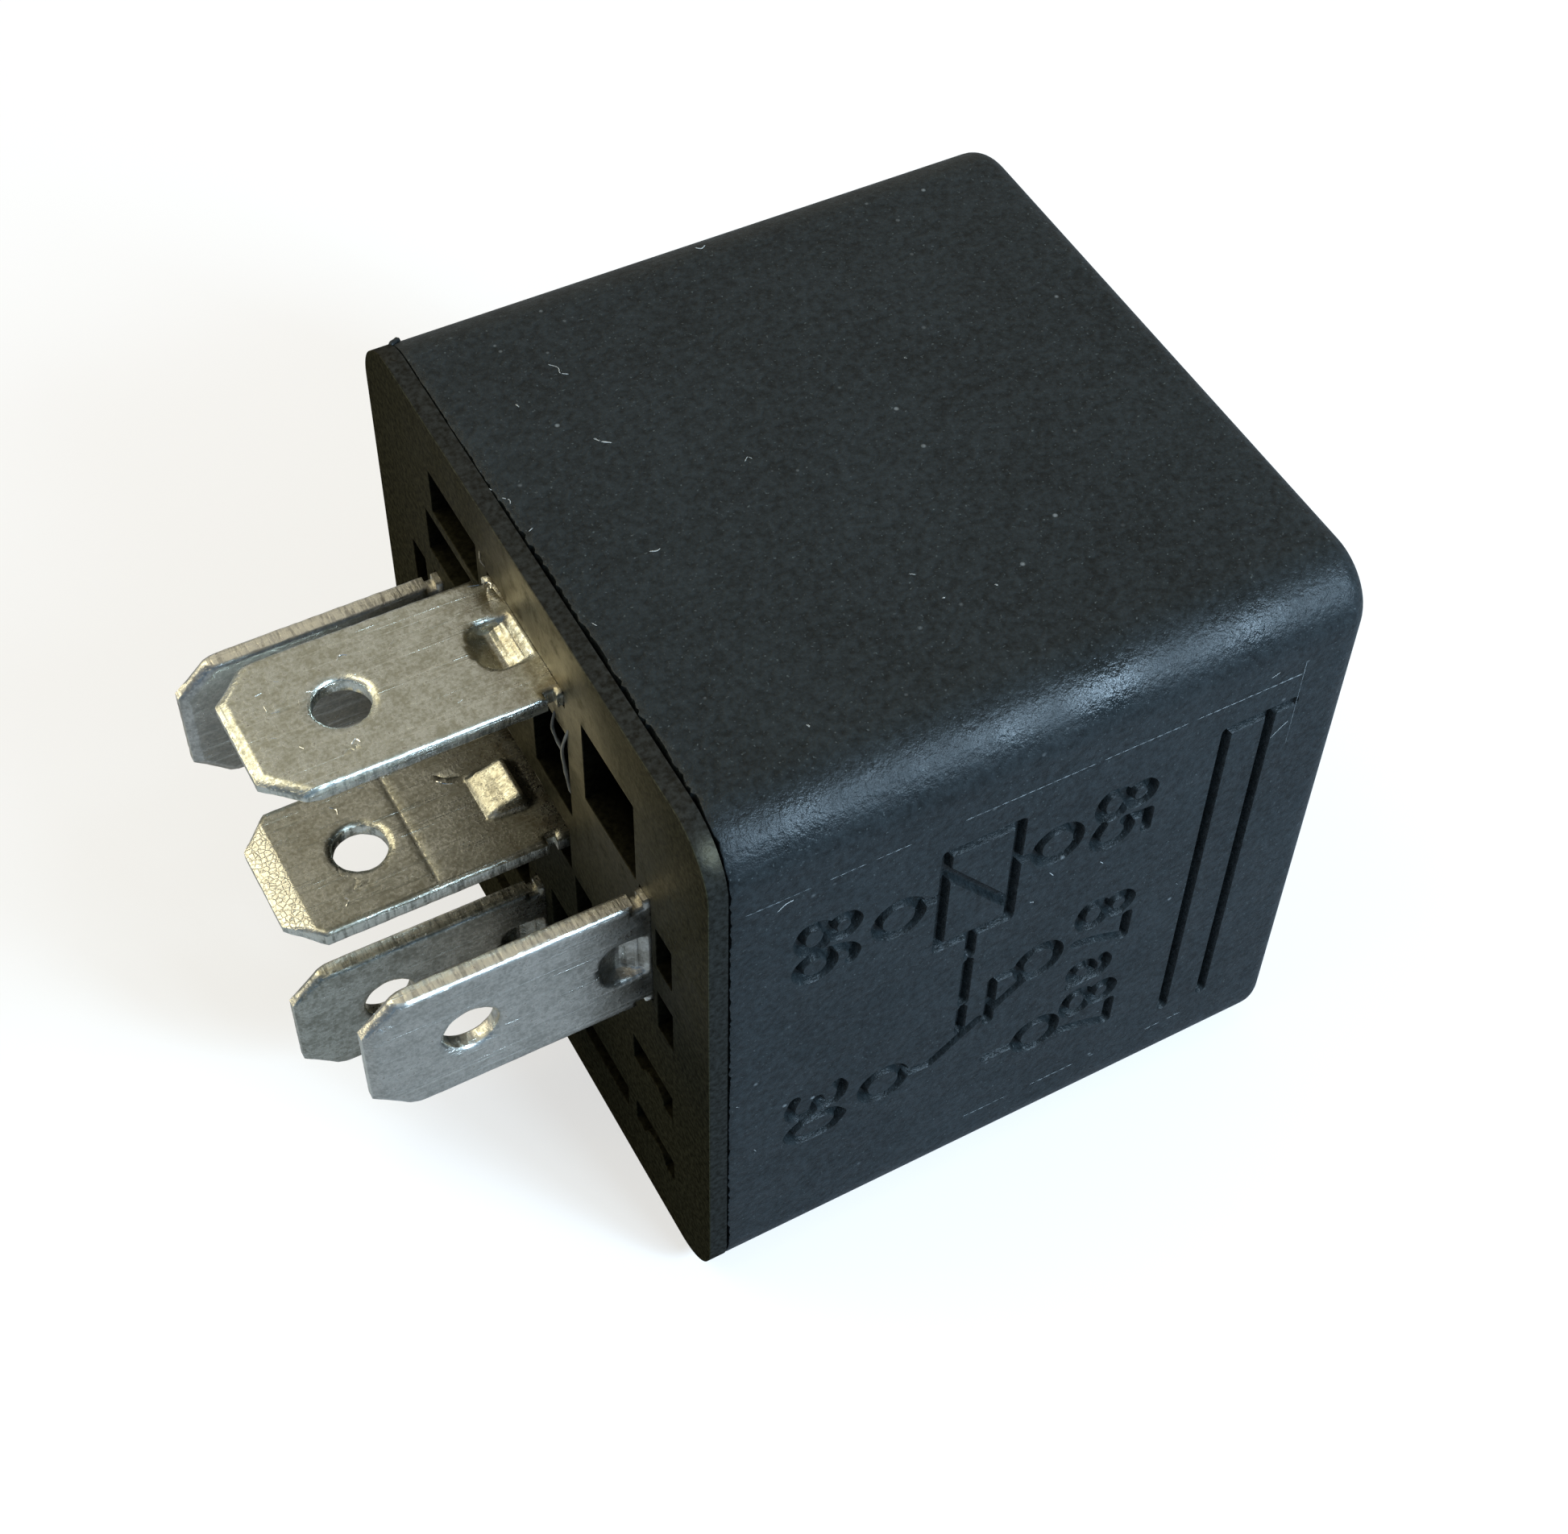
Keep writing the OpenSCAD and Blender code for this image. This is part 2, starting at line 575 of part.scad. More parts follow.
// leaf riveted to the yoke, bent round the armature's edge and riveted to the armature
module contact_spring() {
    bend_r = 0.9;
    bend_steps = 14;
    strap_h = spring_x - pole_x;              // underside of the strap over the pole face
    bend_u = yoke_z - hinge_z + bend_r;       // centre of the bend, seen from the hinge
    bend_h = strap_h - bend_r;
    strap_u = (bend_u + bend_h * sin(stroke_deg)) / cos(stroke_deg);
    bend_x = pole_x + lift([strap_u, bend_h])[1];
    leg_x0 = leg_rivet_x - 2.2;
    strap_w = 2 * arm_rivet_y + 3;
    taper_l = 3;                              // the strap narrows over this length
    strap_top_u = arm_rivet_z - hinge_z + 2.5;
    tab_r = contact_r + 0.4;
    hole_r = rivet_r + 0.03;
    window = 3;                               // opening between the two arms of the bend
    function arc_point(r, k) =
        let (a = k * (90 - stroke_deg) / bend_steps)
        [bend_x + r * sin(a), yoke_z + bend_r - r * cos(a)];
    function strap_point(h) =
        let (p = lift([contact_reach + tab_r, h])) [pole_x + p[1], hinge_z + p[0]];
    side = concat(
        [[leg_x0, yoke_z], [leg_x0, yoke_z - spring_t]],
        [for (k = [0 : bend_steps]) arc_point(bend_r + spring_t, k)],
        [strap_point(strap_h + spring_t), strap_point(strap_h)],
        [for (k = [bend_steps : -1 : 0]) arc_point(bend_r, k)]);
    color("#b98d4f")
    difference() {
        intersection() {
            translate([shift_x, spring_w / 2, mid_z]) rotate([90, 0, 0])
                linear_extrude(spring_w) polygon(side);
            union() {
                block([0, body_l], [-spring_w, spring_w], [yoke_z - 1, hinge_z + strap_u + taper_l / 3]);
                let_go_plate(spring_x - 1) linear_extrude(2) {
                    polygon([[-spring_w / 2, strap_u], [spring_w / 2, strap_u],
                             [strap_w / 2, strap_u + taper_l], [strap_w / 2, strap_top_u],
                             [tab_r, contact_reach - 2.5], [tab_r, contact_reach],
                             [-tab_r, contact_reach], [-tab_r, contact_reach - 2.5],
                             [-strap_w / 2, strap_top_u], [-strap_w / 2, strap_u + taper_l]]);
                    translate([0, contact_reach]) circle(tab_r);
                }
            }
        }
        for (s = [-1, 1]) {
            translate([shift_x + leg_rivet_x, s * leg_rivet_y, mid_z + yoke_z - 2])
                cylinder(h = 4, r = hole_r);
            let_go_plate(spring_x - 1) translate([s * arm_rivet_y, arm_rivet_z - hinge_z])
                cylinder(h = 2, r = hole_r);
        }
        let_go_plate(spring_x - 1) translate([0, contact_reach]) cylinder(h = 2, r = shank_r + 0.03);
        block([bend_x - 2.5, bend_x + 3.5], [-window / 2, window / 2], [yoke_z - 1, yoke_z + bend_r + 0.5]);
    }
}

module moving_contact() {
    color("#d6d6cf")
    let_go_plate(spring_x) translate([0, contact_reach]) {
        translate([0, 0, -eps]) cylinder(h = spring_t + 2 * eps, r = shank_r);
        translate([0, 0, spring_t]) contact_head();
        mirror([0, 0, 1]) contact_head();
    }
}

module make_contact() {
    color("#d6d6cf")
    stand(make_tab_x) translate([0, contact_z]) fixed_contact();
}

module break_contact() {
    color("#d6d6cf")
    stand(break_arm_x + blade_t) translate([0, break_z]) mirror([0, 0, 1]) fixed_contact();
}

// ---- coil leads ----

// lead from the winding's side to its turns round the post at [y, z]; side is the sign of y
module coil_lead(y, z) {
    side = sign(y);
    lead_z = z - lead_turn_r;
    start = sqrt(pow(winding_r, 2) - pow(lead_z - coil_z - lead_r, 2)) + fit;
    color("#a5541f") {
        translate([shift_x + lead_x, side * start, mid_z + lead_z]) rotate([-90 * side, 0, 0])
            cylinder(h = abs(y) - start, r = lead_r);
        for (k = [-1 : 1]) stand(lead_x + k * 2 * lead_r * 0.98) translate([y, z])
            rotate_extrude() translate([lead_turn_r, 0]) circle(lead_r);
    }
}

module coil_lead_85() {
    coil_lead(y_85, z_85);
}

module coil_lead_86() {
    coil_lead(y_86, z_86);
}

cover();
base();
terminal_87();
terminal_87a();
terminal_30();
terminal_85();
terminal_86();
coil_former();
winding();
core();
yoke();
armature();
contact_spring();
moving_contact();
make_contact();
break_contact();
armature_rivets();
yoke_rivets();
terminal_rivet();
coil_lead_85();
coil_lead_86();
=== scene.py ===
import math
import bmesh
import bpy
import numpy as np
from mathutils import Matrix, Vector, noise
from mathutils.geometry import delaunay_2d_cdt


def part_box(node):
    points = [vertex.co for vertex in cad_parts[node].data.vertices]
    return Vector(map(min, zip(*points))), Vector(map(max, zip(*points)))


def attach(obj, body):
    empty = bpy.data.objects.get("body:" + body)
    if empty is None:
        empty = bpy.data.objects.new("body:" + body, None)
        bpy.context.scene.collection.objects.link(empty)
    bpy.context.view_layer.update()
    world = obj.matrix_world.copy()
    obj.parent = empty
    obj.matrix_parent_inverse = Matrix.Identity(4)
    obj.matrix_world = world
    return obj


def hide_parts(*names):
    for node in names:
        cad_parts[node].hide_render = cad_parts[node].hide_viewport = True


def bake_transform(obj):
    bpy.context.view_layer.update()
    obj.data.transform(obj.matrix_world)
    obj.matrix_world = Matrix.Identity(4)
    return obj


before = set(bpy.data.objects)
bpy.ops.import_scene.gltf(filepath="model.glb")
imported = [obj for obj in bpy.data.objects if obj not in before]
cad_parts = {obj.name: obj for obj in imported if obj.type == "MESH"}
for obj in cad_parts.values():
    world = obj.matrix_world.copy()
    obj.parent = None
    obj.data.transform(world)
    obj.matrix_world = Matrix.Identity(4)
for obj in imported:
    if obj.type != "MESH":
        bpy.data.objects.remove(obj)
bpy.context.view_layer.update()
scene = bpy.context.scene
mm = 0.001          # lengths below are in millimetres, scene units are metres
print("frame loaded:", len(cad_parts), "nodes")

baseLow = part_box("base")[0] / mm
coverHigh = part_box("cover")[1] / mm
housing = {
    "faceX": baseLow.x,         # blade side of the base; x in the tables below counts from here
    "length": coverHigh.x - baseLow.x,
    "halfY": coverHigh.y,
    "midZ": coverHigh.z / 2,
    "topZ": coverHigh.z,
    "cornerR": 2.5,
    "topEdgeR": 1.0,
    "wall": 1.3,
    "rim": 0.75,                # thickness of the base rim
}


# materials are built from these few nodes

def newMaterial(name):
    made = bpy.data.materials.new(name)
    made.use_nodes = True
    made.node_tree.nodes.clear()
    return made, made.node_tree


def addNode(tree, kind, values=None, **settings):
    made = tree.nodes.new("ShaderNode" + kind)
    for key, value in settings.items():
        setattr(made, key, value)
    for key, value in (values or {}).items():
        if isinstance(value, bpy.types.NodeSocket):
            tree.links.new(value, made.inputs[key])
        else:
            made.inputs[key].default_value = value
    return made


def objectPlace(tree):
    return addNode(tree, "TexCoord").outputs["Object"]


def stretched(tree, scale=(1, 1, 1), turn=(0, 0, 0)):
    turned = [math.radians(a) for a in turn]
    values = {"Vector": objectPlace(tree), "Rotation": turned, "Scale": scale}
    return addNode(tree, "Mapping", values).outputs["Vector"]


def grain(tree, perMm, detail=2.0, rough=0.5, scale=(1, 1, 1), turn=(0, 0, 0)):
    where = stretched(tree, scale, turn)
    values = {"Vector": where, "Scale": perMm / mm, "Detail": detail, "Roughness": rough}
    return addNode(tree, "TexNoise", values).outputs["Fac"]


def spread(tree, value, low, high, outLow=0.0, outHigh=1.0, **settings):
    values = {"Value": value, "From Min": low, "From Max": high, "To Min": outLow, "To Max": outHigh}
    return addNode(tree, "MapRange", values, **settings).outputs["Result"]


def blendColour(tree, factor, first, second):
    made = addNode(tree, "Mix", data_type="RGBA")
    for socket, value in (("Factor", factor), ("A", first), ("B", second)):
        target = [s for s in made.inputs if s.name == socket and s.enabled][0]
        if isinstance(value, bpy.types.NodeSocket):
            tree.links.new(value, target)
        elif socket == "Factor":
            target.default_value = value
        else:
            target.default_value = (*value, 1)
    return [s for s in made.outputs if s.enabled][0]


def calc(tree, operation, first, second=0.0):
    return addNode(tree, "Math", {0: first, 1: second}, operation=operation).outputs[0]


def times(tree, first, second):
    return calc(tree, "MULTIPLY", first, second)


def plus(tree, first, second):
    return calc(tree, "ADD", first, second)


def bumped(tree, height, distance, strength=1.0, under=None):
    values = {"Height": height, "Distance": distance * mm, "Strength": strength}
    if under is not None:
        values["Normal"] = under
    return addNode(tree, "Bump", values).outputs["Normal"]


def nearPoint(tree, place, reach):
    # 1 at that place, falling to 0 at the distance reach
    middle = [v * mm for v in place]
    away = addNode(tree, "VectorMath", {0: objectPlace(tree), 1: middle}, operation="DISTANCE")
    return spread(tree, away.outputs["Value"], reach * mm, 0.0, interpolation_type="SMOOTHSTEP")


def closeMaterial(tree, shader):
    addNode(tree, "OutputMaterial", {"Surface": shader.outputs[0]})


def finishMaterial(made, tree, values):
    closeMaterial(tree, addNode(tree, "BsdfPrincipled", values))
    return made


# meshes, and the pieces made from them

def meshFrom(name, points, faces):
    made = bpy.data.meshes.new(name)
    made.from_pydata([Vector(p) * mm for p in points], [], faces)
    made.update()
    return made


def toBmesh(mesh):
    shaped = bmesh.new()
    shaped.from_mesh(mesh)
    return shaped


def fromBmesh(shaped, mesh):
    shaped.to_mesh(mesh)
    shaped.free()
    return mesh


def facedOut(mesh, merge=None):
    # every face turned outwards, with the points closer than merge made one
    shaped = toBmesh(mesh)
    if merge:
        bmesh.ops.remove_doubles(shaped, verts=shaped.verts, dist=merge)
    bmesh.ops.recalc_face_normals(shaped, faces=shaped.faces)
    return fromBmesh(shaped, mesh)


def shadeByAngle(mesh, degrees):
    shaped = toBmesh(mesh)
    for face in shaped.faces:
        face.smooth = True
    for edge in shaped.edges:
        edge.smooth = len(edge.link_faces) == 2 and edge.calc_face_angle(0) < math.radians(degrees)
    fromBmesh(shaped, mesh)


def addPiece(name, mesh, material, replaced=(), body="relay", sharp=35):
    mesh.materials.clear()
    mesh.materials.append(material)
    shadeByAngle(mesh, sharp)
    piece = bpy.data.objects.new(name, mesh)
    scene.collection.objects.link(piece)
    normals = piece.modifiers.new("evenShading", "WEIGHTED_NORMAL")
    normals.keep_sharp = True
    if replaced:
        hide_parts(*replaced)
    if body:
        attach(piece, body)
    return piece


def wholeFaces(node):
    # a solid with its flat faces in one piece again
    shaped = toBmesh(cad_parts[node].data)
    bmesh.ops.remove_doubles(shaped, verts=shaped.verts, dist=1e-7)
    bmesh.ops.dissolve_limit(shaped, angle_limit=math.radians(0.6), verts=shaped.verts, edges=shaped.edges)
    return shaped


def sharpEdges(shaped, degrees):
    return [e for e in shaped.edges if e.calc_face_angle(0) > math.radians(degrees)]


def roundEdges(shaped, edges, width, segments=2, clamp=True):
    bmesh.ops.bevel(shaped, geom=edges, offset=width * mm, segments=segments, profile=0.5,
                    affect="EDGES", clamp_overlap=clamp)


def softMesh(node, width):
    shaped = wholeFaces(node)
    roundEdges(shaped, sharpEdges(shaped, 30), width, clamp=False)
    return fromBmesh(shaped, bpy.data.meshes.new(node + "Soft"))


def smoothCurve(points, steps):
    # points of a smooth line through the given ones
    last = len(points) - 1
    path = []
    for i in range(last):
        p0, p1, p2, p3 = (Vector(points[min(max(i + k, 0), last)]) for k in (-1, 0, 1, 2))
        for k in range(steps):
            t = k / steps
            path.append(0.5 * (2 * p1 + (p2 - p0) * t + (2 * p0 - 5 * p1 + 4 * p2 - p3) * t * t
                               + (3 * p1 - p0 - 3 * p2 + p3) * t ** 3))
    path.append(Vector(points[-1]))
    return path


def tube(path, radius, points, faces, sides=5):
    # adds a thin closed thread along the path, uneven in thickness
    start = len(points)
    count = len(path)
    for k, p in enumerate(path):
        along = (path[min(k + 1, count - 1)] - path[max(k - 1, 0)]).normalized()
        across = along.orthogonal().normalized()
        other = along.cross(across)
        taper = 0.35 if k in (0, count - 1) else 0.75 + 0.5 * abs(noise.noise(p * 5))
        for j in range(sides):
            a = j * math.tau / sides
            points.append(p + (across * math.cos(a) + other * math.sin(a)) * radius * taper)
    for k in range(count - 1):
        for j in range(sides):
            low, after = start + k * sides, (j + 1) % sides
            faces.append((low + j, low + after, low + sides + after, low + sides + j))
    faces.append(tuple(start + j for j in reversed(range(sides))))
    faces.append(tuple(start + (count - 1) * sides + j for j in range(sides)))


# black plastic of the cover: fine grain, flecks, dust in the grain, rubbed places on the long edge

coverLook = {
    "dark": (0.0028, 0.0046, 0.0052),
    "light": (0.0142, 0.0187, 0.0206),
    "pale": (0.052, 0.060, 0.060),      # lighter flecks in the grain
    "dust": (0.26, 0.27, 0.27),
    "rough": (0.37, 0.53),
    "shine": 0.225,
    # rubbed places: how far in from the marked and the upper side; then x, width, how much smoother
    "edge": (0.8, 0.7),
    "rubbed": ((-4.4, 2.2, 0.12), (3.75, 2.0, 0.14), (7.7, 2.3, 0.33), (13.6, 2.2, 0.18)),
}


def makeCoverPlastic():
    made, tree = newMaterial("coverPlastic")
    pebble = grain(tree, 3.7, 4, 0.64)
    cloud = grain(tree, 0.20, 3, 0.6)
    tone = plus(tree, times(tree, pebble, 0.8), times(tree, cloud, 0.2))
    colour = blendColour(tree, spread(tree, tone, 0.36, 0.64), coverLook["dark"], coverLook["light"])
    fleck = spread(tree, grain(tree, 8.0, 1, 0.5), 0.68, 0.80)
    colour = blendColour(tree, fleck, colour, coverLook["pale"])
    dust = addNode(tree, "TexVoronoi", {"Vector": stretched(tree), "Scale": 0.75 / mm})
    dustHere = times(tree, spread(tree, dust.outputs["Distance"], 0.085, 0.035),
                     spread(tree, grain(tree, 0.30, 2), 0.50, 0.60))
    colour = blendColour(tree, times(tree, dustHere, 0.45), colour, coverLook["dust"])
    rough = spread(tree, grain(tree, 0.9, 4, 0.65), 0.3, 0.7, *coverLook["rough"])
    edgeY, edgeZ = coverLook["edge"][0] - housing["halfY"], housing["topZ"] - coverLook["edge"][1]
    for x, reach, smoother in coverLook["rubbed"]:
        spot = times(tree, nearPoint(tree, (x, edgeY, edgeZ), reach), smoother)
        rough = calc(tree, "SUBTRACT", rough, spot)
    wave = bumped(tree, grain(tree, 0.12, 2), 0.12, 0.35)
    pits = bumped(tree, pebble, 0.052, 1.0, wave)
    normal = bumped(tree, grain(tree, 9.0, 2, 0.6), 0.014, 1.0, pits)
    return finishMaterial(made, tree, {"Base Color": colour, "Roughness": rough, "Normal": normal,
                                       "Specular IOR Level": coverLook["shine"]})


# plastic of the base: matt, with painted shade deep in its pockets, and near the upper blade a tan-tinted
# glossy patch that is a painted reflection of light thrown from the blade

baseLook = {
    "dark": (0.0115, 0.0108, 0.0064),
    "light": (0.037, 0.035, 0.0210),
    "inside": (0.0012, 0.0011, 0.0008),     # painted shade deep in the pockets
    "pocketShadeDepth": 1.3,
    "pocketEnd": 2.45,                      # behind this depth the moulding has its own colour again
    "rough": (0.34, 0.50),
    "skin": 1.0,                            # shine of the painted tan reflection and of the rim
    "skinTint": (1.0, 0.85, 0.55, 1),
    "skinIor": 1.58,
    # places of the painted tan reflection: centre, reach, how much of it
    "paintedSheen": ((-8.0, -1.6, 25.6), 6.5, 1.0),
    "beside": ((-8.0, -7.5, 21.5), 9.0, 0.30),
    "faint": ((-8.0, -1.6, 25.6), 22.0, 0.18),
    "rimShare": 0.15,
    "rimDark": (0.0034, 0.0040, 0.0040),
    "rimLight": (0.0180, 0.0190, 0.0182),
}


def makeBasePlastic():
    made, tree = newMaterial("basePlastic")
    speck = grain(tree, 4.5, 4, 0.65)
    place = addNode(tree, "SeparateXYZ", {0: objectPlace(tree)})
    face = housing["faceX"]
    onFace = spread(tree, place.outputs["X"], (face + 0.06) * mm, (face + 0.02) * mm)
    outY = calc(tree, "DIVIDE", calc(tree, "ABSOLUTE", place.outputs["Y"]), housing["halfY"] * mm)
    low = calc(tree, "SUBTRACT", place.outputs["Z"], housing["midZ"] * mm)
    outZ = calc(tree, "DIVIDE", calc(tree, "ABSOLUTE", low), housing["midZ"] * mm)
    onRim = spread(tree, calc(tree, "MAXIMUM", outY, outZ), 0.90, 0.92)
    onRim = times(tree, onRim, calc(tree, "SUBTRACT", 1.0, onFace))
    tone, rimTone = spread(tree, speck, 0.36, 0.66), spread(tree, speck, 0.36, 0.64)
    faceColour = blendColour(tree, tone, baseLook["dark"], baseLook["light"])
    rimColour = blendColour(tree, rimTone, baseLook["rimDark"], baseLook["rimLight"])
    # painted shade: the colour darkens with depth into the pockets, down to the pocket's end
    depth = spread(tree, place.outputs["X"], face * mm, (face + baseLook["pocketShadeDepth"]) * mm, 0.45, 0.0)
    pocketEnd = face + baseLook["pocketEnd"]
    behind = spread(tree, place.outputs["X"], pocketEnd * mm, (pocketEnd + 0.3) * mm)
    lit = calc(tree, "MAXIMUM", calc(tree, "MAXIMUM", onFace, depth), behind)
    colour = blendColour(tree, lit, baseLook["inside"], faceColour)
    colour = blendColour(tree, onRim, colour, rimColour)
    # painted reflection: tinted shine in patches near blade 87 stands in for light that the blade throws
    # onto the base
    patchy = spread(tree, grain(tree, 1.0, 5, 0.65), 0.22, 0.50)
    paintedSheen, beside, faint = (times(tree, nearPoint(tree, where, reach), much)
                             for where, reach, much in (baseLook[k] for k in ("paintedSheen", "beside", "faint")))
    share = plus(tree, times(tree, paintedSheen, patchy), plus(tree, faint, times(tree, beside, patchy)))
    share = times(tree, calc(tree, "MINIMUM", share, 1.0), onFace)
    share = plus(tree, share, times(tree, onRim, baseLook["rimShare"]))
    rough = spread(tree, grain(tree, 0.8, 3), 0.3, 0.7, *baseLook["rough"])
    normal = bumped(tree, speck, 0.016, 1.0, bumped(tree, grain(tree, 0.5, 2), 0.02, 0.5))
    shared = {"Base Color": colour, "Roughness": rough, "Normal": normal}
    matt = addNode(tree, "BsdfPrincipled", {**shared, "Specular IOR Level": 0.0})
    shiny = {"Specular IOR Level": baseLook["skin"], "Specular Tint": baseLook["skinTint"],
             "IOR": baseLook["skinIor"]}
    skin = addNode(tree, "BsdfPrincipled", {**shared, **shiny})
    closeMaterial(tree, addNode(tree, "MixShader", {0: share, 1: matt.outputs[0], 2: skin.outputs[0]}))
    return made


# rolled strip, tinned: cloudy patches, rolling streaks, handling scratches, browner towards the root

tinLook = {
    "fresh": (0.62, 0.61, 0.54),        # pressed bright, on the coined tip
    "bared": (0.95, 0.92, 0.80),        # cut or scratched bright
    "rootReach": (-3.0, 0.3),           # where the stain begins and is full
    # clean, worn, stained colour and roughness of each kind of strip
    "stripTin": ((0.67, 0.685, 0.63), (0.38, 0.375, 0.31), (0.18, 0.14, 0.075), (0.20, 0.40)),
    # a darker copy of the strip tin for the lower blades: painted shade from the blade above them
    "shadedStripTin": ((0.51, 0.505, 0.44), (0.27, 0.26, 0.21), (0.13, 0.10, 0.055), (0.20, 0.40)),
    "coilBladeTin": ((0.62, 0.60, 0.55), (0.40, 0.385, 0.345), (0.20, 0.17, 0.12), (0.24, 0.42)),
    # fine scratches: stretch and turn of their grain
    "scratches": (((0.06, 7.0, 7.0), (0, 0, 0)), ((0.12, 8.0, 8.0), (0, 31, 38)),
                  ((0.15, 8.0, 8.0), (14, -52, -61))),
}


def makeTin(name):
    clean, worn, stain, rough = tinLook[name]
    made, tree = newMaterial(name)
    clouds = grain(tree, 1.1, 5, 0.68)
    streaks = grain(tree, 1.0, 4, 0.65, scale=(0.25, 3.0, 3.0))
    specks = grain(tree, 6.0, 3, 0.65)
    fine = plus(tree, times(tree, streaks, 0.10), times(tree, specks, 0.54))
    tone = plus(tree, times(tree, clouds, 0.36), fine)
    colour = blendColour(tree, spread(tree, tone, 0.42, 0.58), worn, clean)
    along = addNode(tree, "SeparateXYZ", {0: objectPlace(tree)}).outputs["X"]
    rootFrom, rootTo = ((housing["faceX"] + x) * mm for x in tinLook["rootReach"])
    root = spread(tree, along, rootFrom, rootTo, 0.0, 0.75)
    patchy = spread(tree, grain(tree, 1.3, 4, 0.65), 0.42, 0.60)
    colour = blendColour(tree, times(tree, root, patchy), colour, stain)
    # the coined tip: fresh tin, crackled
    coined = addNode(tree, "Attribute", attribute_name="coined").outputs["Fac"]
    colour = blendColour(tree, coined, colour, tinLook["fresh"])
    crackle = addNode(tree, "TexVoronoi", {"Vector": stretched(tree), "Scale": 4.6 / mm},
                      feature="DISTANCE_TO_EDGE")
    crack = times(tree, spread(tree, crackle.outputs["Distance"], 0.13, 0.0), coined)
    colour = blendColour(tree, times(tree, crack, 0.30), colour, stain)
    dark = spread(tree, grain(tree, 6.0, 2, 0.5), 0.66, 0.74, 0.0, 0.5)
    colour = blendColour(tree, dark, colour, stain)
    # punched edges: brighter, with fine lines across
    sheared = addNode(tree, "Attribute", attribute_name="sheared").outputs["Fac"]
    teeth = grain(tree, 1.0, 3, 0.6, scale=(7.0, 0.8, 0.8))
    bare = times(tree, sheared, spread(tree, teeth, 0.40, 0.52))
    colour = blendColour(tree, times(tree, bare, 0.6), colour, tinLook["bared"])
    roughMap = spread(tree, tone, 0.35, 0.65, rough[1], rough[0])
    normal = None
    for scale, turn in tinLook["scratches"]:
        lines = spread(tree, grain(tree, 1.0, 2, 0.5, scale=scale, turn=turn), 0.62, 0.67)
        normal = bumped(tree, lines, 0.007, 0.8, normal)
        colour = blendColour(tree, times(tree, lines, 0.12), colour, tinLook["bared"])
    normal = bumped(tree, specks, 0.014, 0.8, normal)
    normal = bumped(tree, crack, -0.010, 0.8, normal)
    normal = bumped(tree, times(tree, teeth, sheared), 0.016, 1.0, normal)
    return finishMaterial(made, tree, {"Base Color": colour, "Roughness": roughMap, "Normal": normal,
                                       "Metallic": 1.0})


# metals of the inside: two colours, roughness, stretch of the grain, its size
metalLook = {
    "plainIron": ((0.42, 0.42, 0.42), (0.56, 0.56, 0.57), (0.28, 0.45), (1, 1, 1), 1.5),
    "zincIron": ((0.48, 0.50, 0.51), (0.62, 0.64, 0.65), (0.30, 0.50), (0.3, 2, 1), 1.2),
    "rivetSteel": ((0.50, 0.50, 0.50), (0.66, 0.66, 0.66), (0.25, 0.40), (1, 1, 1), 2.0),
    "springBronze": ((0.60, 0.36, 0.14), (0.72, 0.47, 0.22), (0.22, 0.36), (2, 0.4, 0.2), 2.0),
    "contactSilver": ((0.78, 0.78, 0.75), (0.90, 0.90, 0.88), (0.16, 0.32), (1, 1, 1), 3.0),
    "copperWire": ((0.42, 0.11, 0.03), (0.62, 0.21, 0.06), (0.14, 0.26), (1, 1, 1), 1.0),
}


def makeMetal(name):
    first, second, rough, streak, perMm = metalLook[name]
    made, tree = newMaterial(name)
    tone = grain(tree, perMm, 4, 0.6, scale=streak)
    colour = blendColour(tree, spread(tree, tone, 0.35, 0.65), first, second)
    roughMap = spread(tree, tone, 0.3, 0.7, *rough)
    normal = bumped(tree, grain(tree, perMm * 3, 3, 0.6, scale=streak), 0.004, 0.8)
    return finishMaterial(made, tree, {"Base Color": colour, "Roughness": roughMap, "Normal": normal,
                                       "Metallic": 1.0})


def makeNylon():
    made, tree = newMaterial("formerNylon")
    tone = spread(tree, grain(tree, 0.6, 3), 0.35, 0.65)
    colour = blendColour(tree, tone, (0.72, 0.68, 0.55), (0.80, 0.77, 0.66))
    normal = bumped(tree, grain(tree, 3.0, 3), 0.01, 0.5)
    rough = spread(tree, grain(tree, 1.2, 2), 0.3, 0.7, 0.28, 0.42)
    return finishMaterial(made, tree, {"Base Color": colour, "Roughness": rough, "Normal": normal,
                                       "Subsurface Weight": 0.15, "Subsurface Scale": 0.001})


# small things: two colours, grain and its range, size and height of the bumps, roughness
paleLineGrain = ((0.5, 5, 0.7), (0.35, 0.7), (12, 0.006), 0.5)
speckLook = {
    "paleDust": ((0.20, 0.205, 0.205), (0.42, 0.42, 0.40), (12, 2, 0.5), (0.0, 1.0), (20, 0.004), 0.8),
    # plastic drawn thin at the flash, so that it looks greyer, and painted highlights along the edges of the
    # blade seats and on the mould's parting lines
    "flashAndEdgeSheen": ((0.11, 0.105, 0.09), (0.36, 0.34, 0.29), *paleLineGrain),
    "partingLineSheen": ((0.020, 0.026, 0.030), (0.20, 0.21, 0.21), *paleLineGrain),
}


def makeSpeck(name):
    first, second, grains, (low, high), (bumpsPerMm, bumpHeight), rough = speckLook[name]
    made, tree = newMaterial(name)
    colour = blendColour(tree, spread(tree, grain(tree, *grains), low, high), first, second)
    normal = bumped(tree, grain(tree, bumpsPerMm, 2), bumpHeight)
    return finishMaterial(made, tree, {"Base Color": colour, "Normal": normal, "Roughness": rough})


coverPlastic = makeCoverPlastic()
basePlastic = makeBasePlastic()
stripTin, shadedStripTin, coilBladeTin = (makeTin(name) for name in ("stripTin", "shadedStripTin", "coilBladeTin"))
metals = {name: makeMetal(name) for name in metalLook}
nylon = makeNylon()
paleDust, flashAndEdgeSheen, partingLineSheen = (makeSpeck(name) for name in speckLook)
print("finishes made")


# engraved diagram: x from the base, z over the table

